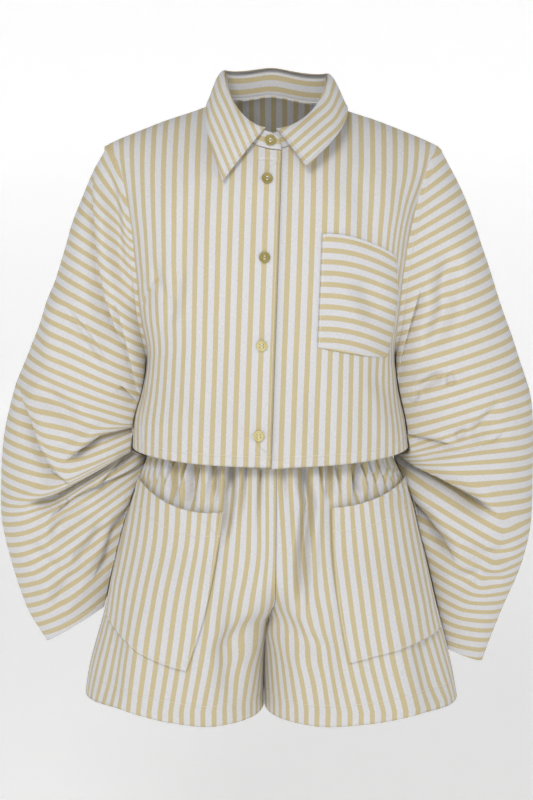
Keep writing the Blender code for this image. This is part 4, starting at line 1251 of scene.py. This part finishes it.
def make_sleeves(cloth):
    columns = np.concatenate([
        np.linspace(0, 0.5, SLEEVE_FRONT_COLUMNS + 1)[:-1],
        np.linspace(0.5, 1, SLEEVE_BACK_COLUMNS + 1),
    ])
    rows = np.linspace(0, 1, SLEEVE_ROWS + 1) ** SLEEVE_ROW_SPREAD
    for side, name in SIDES:
        s, t = np.meshgrid(columns, rows, indexing="ij")
        base = sleeve_surface(side)(s, t)
        centre = base[:-1].mean(axis=0)
        normals, _ = outward_normals(base[:-1], centre, True)
        normals = np.concatenate([normals, normals[:1]])
        x, z = base[..., 0], base[..., 2]
        around, from_cap, _, from_cuff = measured(base)
        relief = sleeve_relief(side, x, z, -normals[..., 1], from_cap, from_cuff)
        _, seam_out, onward = armhole_ring(side, s)
        tuck = (1 - blend(0, CAP_TUCK, from_cap))[..., None]
        # Near the body the cloth is pushed only forwards and back, so that its inner edge stays put
        free = blend(*FREE_SHARES, (1 - np.cos(2 * np.pi * s)) / 2)
        ways = normals * np.stack([free, np.ones_like(free), free], -1)
        points = base + ways * relief[..., None]
        points = points - (seam_out * CAP_UNDER + onward * CAP_TUCK / 2) * tuck
        sewing = nearest_stitches((from_cuff - SLEEVE_HEM_STITCH, around),
                                  (from_cap - SEAM_STITCH, around))
        piece = make_cloth(f"sleeve_{name}", points[:-1], (sleeve_stripes(side, x, z), around),
                           sewing, centre, cloth, closed=True)


def make_collar(cloth):
    inside = np.array([COLLAR_X, NECK_CENTRE_Y, 0.0])
    points = stand_surface(*make_grid(*STAND_GRID))
    across, up, from_end, from_top = measured(points)
    from_edge = np.minimum(np.minimum(up, from_top), from_end)
    sewing = nearest_stitches((from_edge - EDGE_STITCH, across))
    piece = make_cloth("collar_stand", points, (up + STRIPE * STAND_START, across), sewing, inside,
                       cloth, thick=COLLAR_THICK)

    inside = inside + (0, 0, -FALL_INSIDE_DROP)
    s, t = make_grid(*FALL_GRID)
    points = fall_surface(s, t)
    across, up, from_end, from_top = measured(points)
    from_edge = np.minimum(from_top, from_end)
    normals, _ = outward_normals(points, inside)
    edge = COLLAR_EDGE * np.exp(-((from_edge / COLLAR_EDGE_WIDTH) ** 2))
    points = points + normals * (edge + uneven(across, up, 5, FALL_SWELL))[..., None]
    sewing = nearest_stitches((from_edge - COLLAR_STITCH, across + up))
    weave = (leaf_stripes(s, points, up) + STRIPE * FALL_START, across)
    piece = make_cloth("collar_fall", points, weave, sewing, inside, cloth, thick=COLLAR_THICK)


def leaf_stripes(s, points, up):
    """Stripes of the turned-down collar: along its fold at the back, straight down each leaf."""
    places = s[:, 0]
    u = up.copy()
    for side in (RIGHT, LEFT):
        start = LEAF_ENDS if side == RIGHT else 1 - LEAF_ENDS
        column = int(np.abs(places - start).argmin())
        way = np.array(LEAF_WAY[side])
        square = points[..., 0] * way[1] * side - points[..., 2] * way[0] * side
        known, lengths = square[column], up[column]
        slope = (lengths[-1] - lengths[0]) / (known[-1] - known[0])
        straight = lengths[0] + (square - known[0]) * slope
        on_leaf = blend(LEAF_BLEND, -LEAF_BLEND, (places - start) * -side)[:, None]
        u = mix(u, straight, on_leaf)
    return u


def make_patch(node, points, inside, lift, weave, hem, cloth):
    """A patch pocket's cloth, stitched round its sides and bottom and along its turned-in top."""
    normals, _ = outward_normals(points, inside)
    across, up, from_side, from_bottom = measured(points)
    from_edge = np.minimum(from_side, from_bottom)
    lift = lift + PATCH_EDGE * blend(0, PATCH_EDGE_WIDTH, from_edge)
    if weave is None:
        weave = (up * CHEST_STRIPES + STRIPE * CHEST_START, across)
    sewing = nearest_stitches((from_edge - EDGE_STITCH, across + up), (up - hem, across))
    return make_cloth(node, points + normals * lift[..., None], weave, sewing, inside, cloth)


def make_chest_pocket(cloth):
    points = chest_pocket_surface(*make_grid(*CHEST_GRID))
    lift = CHEST_LIFT + body_relief(points[..., 0], points[..., 2], False)
    # Its stripes run across it, so they are counted down from its mouth
    piece = make_patch("chest_pocket", points, BODY_INSIDE, lift, None, CHEST_HEM_STITCH, cloth)


def shorts_relief(side, turn, x, z, faces_back):
    """Gathers under the waistband, as sharp grooves at uneven places, and longer soft folds."""
    seed = side + 3 * faces_back
    shift = 0.016 * np.sin(9 * turn + seed) + 0.008 * np.sin(23 * turn + 2 * seed)
    place = GATHERS * (turn + shift)
    number = np.floor(place)
    away = place - number - 0.5
    reach = 0.5 + 0.5 * np.sin(12.9 * number + 3.7 * seed)
    fade = 1 - blend(GROOVE_FADES, mix(*GROOVE_LENGTHS, reach), SHORTS_TOP_Z - z)
    groove = -np.exp(-((away / GROOVE_WIDTH) ** 2)) + GROOVE_RISE
    height = GROOVE_DEPTH * groove * fade * mix(1, SIDE_GROOVES, blend(*SIDE_TURNS, turn))
    mirrored = x if not faces_back else -x
    return height + crease_relief(mirrored, z, SHORTS_SOFT) + uneven(x, z, 2 + seed, SHORTS_SWELL)


def shorts_weave(side, turn, z, faces_back):
    """Stripes down a leg panel: counted from one marked line to the next, and true to size past them."""
    counts, table = LEG_STRIPES[side]

    def length(place):
        return section_length(lambda at: shorts_point(side, at, z, faces_back), 0.0 * place, place)

    part = length(turn)
    marks = [length(shorts_turn(side, table.at(z, name), z)) for name in table.columns[1:]]
    count = counts[0] + np.minimum(part - marks[0], 0) / STRIPE
    count = count + np.maximum(part - marks[-1], 0) / STRIPE
    for number in range(len(counts) - 1):
        share = (part - marks[number]) / (marks[number + 1] - marks[number])
        count = count + (counts[number + 1] - counts[number]) * np.clip(share, 0, 1)
    return (count + TAN_WIDTH / 2) * STRIPE, z


def shorts_turn(side, x, z):
    """The turn of a front leg panel that is seen at (x, z)."""
    start, middle, half = leg_section(side, z)
    return (squared_angle((x - middle) / half) - start) / (np.pi / 2 - start)


def make_shorts(cloth):
    for side, name in SIDES:
        inside = np.array(LEG_INSIDE) * (side, 1, 1)
        for faces_back, face in ((False, "front"), (True, "back")):
            s, t = make_grid(*SHORTS_GRIDS[face])
            points = shorts_surface(side, faces_back)(s, t)
            x, z = points[..., 0], points[..., 2]
            normals, _ = outward_normals(points, inside)
            across, _, from_seam, from_hem = measured(points)
            relief = shorts_relief(side, s, x, z, faces_back) * blend(*LEG_SEWN, from_seam)
            points = points + normals * (relief + seam_dip(from_seam))[..., None]
            sewing = nearest_stitches((from_hem - SHORTS_HEM_STITCH, across))
            piece = make_cloth(f"shorts_{face}_{name}", points, shorts_weave(side, s, z, faces_back),
                               sewing, inside, cloth)
        make_shorts_pocket(side, name, inside, cloth)


def make_shorts_pocket(side, name, inside, cloth):
    s, t = make_grid(*POCKET_GRID)
    x, z = patch_xz(SHORTS_POCKETS[side], s, t)
    turn = shorts_turn(side, x, z)
    mouth = MOUTH_GAPE * (1 - t) ** 3 * np.sin(np.pi * np.clip(s, *MOUTH_SPAN))
    relief = shorts_relief(side, turn, x, z, False)
    # Laid over the gathers, it follows what rises more than what sinks
    lift = SHORTS_LIFT + mouth + np.maximum(relief, relief * POCKET_SINKS)
    piece = make_patch(f"shorts_pocket_{name}", shorts_point(side, turn, z, False), inside, lift,
                       shorts_weave(side, turn, z, False), POCKET_HEM_STITCH, cloth)


def make_waistband(cloth):
    s, t = make_grid(*WAIST_GRID)
    base = waistband_surface(s, t)
    normals, _ = outward_normals(base[:-1], WAIST_INSIDE, True)
    normals = np.concatenate([normals, normals[:1]])
    shift = 0.003 * np.sin(2 * np.pi * 7 * s) + 0.002 * np.sin(2 * np.pi * 17 * s)
    wave = np.sin(2 * np.pi * 4 * GATHERS * (s + shift))
    points = base + normals * (GROOVE_DEPTH * WAIST_WAVE * wave)[..., None]
    around, up = girth_lengths(base), row_lengths(base)
    weave = (around / around[-1:] * WAIST_COUNT * STRIPE, up)
    sewing = nearest_stitches((up - EDGE_STITCH, around))
    piece = make_cloth("waistband", points[:-1], weave, sewing, WAIST_INSIDE, cloth, closed=True)


def facing_frame(surface, s, t, lift):
    """Middle, right, up and outward axes of a flat thing that lies on a surface at (s, t)."""
    beside_s = np.array((s - NUDGE, s + NUDGE, s, s))
    beside = surface(beside_s, np.array((t, t, t - NUDGE, t + NUDGE)))
    out = np.cross(beside[1] - beside[0], beside[3] - beside[2])
    out /= np.linalg.norm(out) * (1 if out[1] < 0 else -1)
    up = np.array((0, 0, 1)) - out * out[2]
    up /= np.linalg.norm(up)
    return surface(np.array(s), np.array(t)) + out * lift, np.cross(up, out), up, out


def make_ring(name, points, material, closed=True):
    """Mesh of a ring of columns of points, each joined to the next, with its poles closed."""
    turns, count = points.shape[:2]
    i, j = np.meshgrid(np.arange(turns), np.arange(count - 1), indexing="ij")
    here, ahead = i * count + j, (i + 1) % turns * count + j
    faces = np.stack([here, here + 1, ahead + 1, ahead], -1)
    mesh = bpy.data.meshes.new(name)
    mesh.from_pydata(points.reshape(-1, 3).tolist(), [], faces.reshape(-1, 4).tolist())
    bm = bmesh.new()
    bm.from_mesh(mesh)
    bmesh.ops.remove_doubles(bm, verts=bm.verts, dist=MERGE)
    if closed:
        bmesh.ops.recalc_face_normals(bm, faces=bm.faces)
    bm.to_mesh(mesh)
    bm.free()
    mesh.shade_smooth()
    mesh.materials.append(material)
    return put_in_scene(name, mesh)


def make_turned(name, place, profile, size, material, offset=(0, 0), turns=BUTTON_TURNS, closed=True):
    """Turned form: a profile of (radius, height) shares of its size, carried round the out axis."""
    centre, right, up, out = place
    angle = np.linspace(0, 2 * np.pi, turns, endpoint=False)[:, None]
    across, rise = np.array(profile).T * np.array(size)[:, None]
    points = (centre + right * offset[0] + up * offset[1]
              + right * (np.cos(angle) * across)[..., None]
              + up * (np.sin(angle) * across)[..., None]
              + out * (np.zeros_like(angle) + rise)[..., None])
    return make_ring(name, points, material, closed)


def make_thread(name, path, radius, material):
    """Round thread along a path: a ring of points square to it at each of its points."""
    path = np.array(path)
    way = np.gradient(path, axis=0)
    way /= np.linalg.norm(way, axis=1, keepdims=True)
    first = np.cross(way, SLANT)
    first /= np.linalg.norm(first, axis=1, keepdims=True)
    second = np.cross(way, first)
    angle = np.linspace(0, 2 * np.pi, THREAD_SIDES, endpoint=False)[:, None, None]
    ring = path + radius * (np.cos(angle) * first + np.sin(angle) * second)
    ends = [path[None, [end]].repeat(THREAD_SIDES, 0) for end in (0, -1)]
    return make_ring(name, np.concatenate([ends[0], ring, ends[1]], axis=1), material)


def make_button(number, place, horn, dark, thread):
    """Turned four-hole button, its holes' floors in dark painted shade and two sewn bars of white
    thread.
    """
    name = f"button_{number}"
    size = (BUTTON_RADIUS, BUTTON_THICKNESS)
    button = make_turned(f"{name}_turned", place, BUTTON_PROFILE, size, horn)
    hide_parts(name)
    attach(button, "root")
    centre, right, up, out = place
    face = out * BUTTON_THICKNESS * BUTTON_DISH
    reach = BUTTON_RADIUS * HOLE_OFFSET
    hole_place = (centre + face * HOLE_BASE, right, up, out)
    for row in (-1, 1):
        for column in (-1, 1):
            # A dark floor in each hole: painted shade, not the button's own colour
            floor = make_turned(f"{name}_hole_{row + 1}_{column + 1}", hole_place, HOLE_PROFILE,
                                (BUTTON_RADIUS * HOLE_RADIUS, HOLE_HIGH), dark,
                                (reach * column, reach * row), HOLE_TURNS)
            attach(floor, "root")
        path = [centre + face + right * reach * b + up * reach * row
                + out * (THREAD_HIGH * (1 - b * b) - THREAD_SUNK)
                for b in np.linspace(-1, 1, THREAD_POINTS)]
        bar = make_thread(f"{name}_thread_{row + 1}", path, THREAD_RADIUS, thread)
        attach(bar, "root")


def make_buttons(horn, pale, dark, thread):
    """One button on the collar stand, and the rest down the upper front."""

    def front(s, t):
        return body_point(*body_place(s + FIELD_X, t + FIELD_Z))

    place = facing_frame(stand_surface, *STAND_BUTTON, STAND_BUTTON_CLEAR + BUTTON_LIFT)
    make_button(1, place, horn, dark, thread)
    for number, (z, clear) in enumerate(BUTTONS, start=2):
        x = placket_x(z) - BUTTON_FROM_EDGE
        place = facing_frame(front, x - FIELD_X, z - FIELD_Z, clear + BUTTON_LIFT)
        make_button(number, place, pale if number in PALE_BUTTONS else horn, dark, thread)


def srgb(hex_value):
    """A hex colour as linear red, green and blue, with alpha."""
    parts = [int(hex_value[k : k + 2], 16) / 255 for k in (1, 3, 5)]
    return [p / 12.92 if p <= 0.04045 else ((p + 0.055) / 1.055) ** 2.4 for p in parts] + [1.0]


def add(tree, kind, links=(), **settings):
    """One node. Settings are its properties, or in_0 and so on its sockets' values.

    Links are (socket, source node), with the source's output as a third where it isn't the first.
    """
    node = tree.nodes.new("ShaderNode" + kind)
    for key, value in settings.items():
        if key.startswith("in_"):
            node.inputs[int(key[3:])].default_value = value
        else:
            setattr(node, key, value)
    for socket, source, *output in links:
        tree.links.new(source.outputs[output[0] if output else 0], node.inputs[socket])
    return node


def new_material(name):
    material = bpy.data.materials.new(name)
    material.use_nodes = True
    tree = material.node_tree
    return material, tree, tree.nodes["Principled BSDF"]


def striped_cotton():
    """Yarn-dyed cotton chambray, plain woven: matt tan stripes on a pale, blue-grey flecked ground."""
    material, tree, shader = new_material("striped yarn-dyed cotton")
    weave = add(tree, "UVMap", uv_map="weave")
    place = add(tree, "SeparateXYZ", [(0, weave)])
    count = add(tree, "Math", [(0, place)], operation="MULTIPLY", in_1=1 / STRIPE)
    # Each stripe's edges wander a little with its slubs
    slub = add(tree, "Mapping", [(0, weave)], in_3=SLUB_SCALE)
    yarn = add(tree, "TexNoise", [(0, slub)], in_2=1.0, in_3=3.0, in_4=0.6)
    wander = add(tree, "Math", [(0, yarn)], operation="MULTIPLY_ADD", in_1=WANDER, in_2=-WANDER / 2)
    edge = add(tree, "Math", [(0, count), (1, wander)], operation="ADD")
    part = add(tree, "Math", [(0, edge)], operation="FRACT")
    ramp = add(tree, "ValToRGB", [(0, part)])
    stops = ramp.color_ramp.elements
    stops[0].position, stops[0].color = 0.0, (0, 0, 0, 1)
    stops[1].position, stops[1].color = 1.0, (0, 0, 0, 1)
    for at, level in TAN_EDGES:
        stop = stops.new(at)
        stop.color = (level, level, level, 1)
    # Warp runs along the stripes and weft across them: fine flecks both ways
    warp = add(tree, "Mapping", [(0, weave)], in_3=WARP_SCALE)
    warp_noise = add(tree, "TexNoise", [(0, warp)], in_2=1.0, in_3=4.0, in_4=0.75)
    weft = add(tree, "Mapping", [(0, weave)], in_3=WEFT_SCALE)
    weft_noise = add(tree, "TexNoise", [(0, weft)], in_2=1.0, in_3=4.0, in_4=0.75)
    both = add(tree, "Math", [(0, warp_noise), (1, weft_noise)], operation="ADD")
    fleck = add(tree, "MapRange", [(0, both)], in_1=FLECK_LOW, in_2=FLECK_HIGH)
    pale = add(tree, "Mix", [(0, fleck)], data_type="RGBA", in_6=srgb(PALE_FLECK), in_7=srgb(PALE))
    tan = add(tree, "Mix", [(0, fleck)], data_type="RGBA", in_6=srgb(TAN_DARK), in_7=srgb(TAN))
    striped = add(tree, "Mix", [(0, ramp), (6, pale, 2), (7, tan, 2)], data_type="RGBA")
    # Rows of stitches: dashes of thread where the sewing map is near nought, in a soft pucker
    sewing = add(tree, "UVMap", uv_map="sewing")
    row = add(tree, "SeparateXYZ", [(0, sewing)])
    away = add(tree, "Math", [(0, row)], operation="ABSOLUTE")
    near = add(tree, "MapRange", [(0, away)], in_1=0.0002, in_2=0.0005, in_3=THREAD_SHOWS, in_4=0.0)
    beat = add(tree, "Math", [(0, row, 1)], operation="MULTIPLY", in_1=1 / STITCH)
    dash = add(tree, "Math", [(0, beat)], operation="FRACT")
    gap = add(tree, "MapRange", [(0, dash)], in_1=0.70, in_2=0.78, in_3=1.0, in_4=0.0)
    stitch = add(tree, "Math", [(0, near), (1, gap)], operation="MULTIPLY")
    sewn = add(tree, "Mix", [(0, stitch), (6, striped, 2)], data_type="RGBA", in_7=srgb(THREAD))
    pucker = add(tree, "MapRange", [(0, away)], in_1=0.0, in_2=PUCKER_WIDTH, in_3=0.0, in_4=1.0)
    grain = add(tree, "Math", [(0, both), (2, pucker)], operation="MULTIPLY_ADD", in_1=GRAIN_SHARE)
    bump = add(tree, "Bump", [(3, grain)], in_0=0.6, in_1=GRAIN_DEPTH)
    tree.links.new(sewn.outputs[2], shader.inputs["Base Color"])
    tree.links.new(bump.outputs[0], shader.inputs["Normal"])
    shader.inputs["Roughness"].default_value = 0.92
    shader.inputs["Specular IOR Level"].default_value = 0.2
    shader.inputs["Sheen Weight"].default_value = 0.15
    return material


def polyester_button(name, light, dark):
    """Moulded polyester that copies horn: cloudy olive streaks under a half-gloss face."""
    material, tree, shader = new_material(name)
    place = add(tree, "TexCoord")
    cloud = add(tree, "TexNoise", [(0, place, 3)], in_2=CLOUD_SCALE, in_3=3.0, in_4=0.6)
    colour = add(tree, "Mix", [(0, cloud)], data_type="RGBA", in_6=srgb(dark), in_7=srgb(light))
    tree.links.new(colour.outputs[2], shader.inputs["Base Color"])
    shader.inputs["Roughness"].default_value = 0.34
    return material


def plain(name, colour, roughness):
    material, _, shader = new_material(name)
    shader.inputs["Base Color"].default_value = srgb(colour)
    shader.inputs["Roughness"].default_value = roughness
    return material


def look_at(thing, place, aim):
    """Stands a lamp or the camera at a place, facing the aim."""
    thing.location = place
    thing.rotation_euler = (Vector(aim) - Vector(place)).to_track_quat("-Z", "Y").to_euler()


def make_studio():
    """Plain white floor that curves up into a wall all round, a white sky, a key light and a fill."""
    # Uncoated paper, matt and evenly lit: it glows a little, so that it stays white behind the cloth
    white = plain("white paper", "#FAFAFA", 0.9)
    shader = white.node_tree.nodes["Principled BSDF"]
    shader.inputs["Emission Color"].default_value = srgb("#FFFFFF")
    shader.inputs["Emission Strength"].default_value = PAPER_GLOW
    bend = np.linspace(0, np.pi / 2, BOWL_STEPS)
    wall = BOWL_FLAT + BOWL_ROUND
    out = np.concatenate([[BOWL_HOLE], BOWL_FLAT + BOWL_ROUND * np.sin(bend), [wall]])
    rise = np.concatenate([[0], BOWL_ROUND * (1 - np.cos(bend)), [BOWL_HIGH]])
    place = [np.array(way, float) for way in ((0, 0, FLOOR_Z), (1, 0, 0), (0, 1, 0), (0, 0, 1))]
    bowl = make_turned("studio_bowl", place, np.stack([out, rise], -1), (1, 1), white,
                       turns=BOWL_TURNS, closed=False)
    world = bpy.data.worlds.new("white studio")
    bpy.context.scene.world = world
    world.use_nodes = True
    background = world.node_tree.nodes["Background"]
    background.inputs["Color"].default_value = srgb("#FFFFFF")
    background.inputs["Strength"].default_value = SKY
    for name, place, size, watts in LAMPS:
        light = bpy.data.lights.new(name, "AREA")
        light.shape = "RECTANGLE"
        light.size, light.size_y = size
        light.energy = watts
        lamp = put_in_scene(name, light)
        lamp.visible_camera = False
        look_at(lamp, place, AIM)


def make_camera():
    camera = bpy.data.cameras.new("camera")
    camera.sensor_fit = "VERTICAL"
    camera.sensor_height = FILM_HEIGHT
    camera.lens = LENS
    stand = put_in_scene("camera", camera)
    look_at(stand, CAMERA_PLACE, CAMERA_AIM)
    bpy.context.scene.camera = stand
    bpy.context.scene.view_settings.view_transform = "Standard"


cloth = striped_cotton()
horn = polyester_button("olive polyester button", "#AC9C52", "#766A32")
pale_horn = polyester_button("pale olive polyester button", "#DDD095", "#B5A868")
# Painted shade: the dark bottom of a button's moulded hole, coloured as the hole's shade
dark = plain("painted shade in button hole", "#3A3424", 0.8)
# Spun cotton sewing thread, matt and off-white
white_thread = plain("white cotton thread", "#ECEAE2", 0.8)
make_fronts(cloth)
make_back(cloth)
make_sleeves(cloth)
make_collar(cloth)
make_chest_pocket(cloth)
make_shorts(cloth)
make_waistband(cloth)
make_buttons(horn, pale_horn, dark, white_thread)
make_studio()
make_camera()
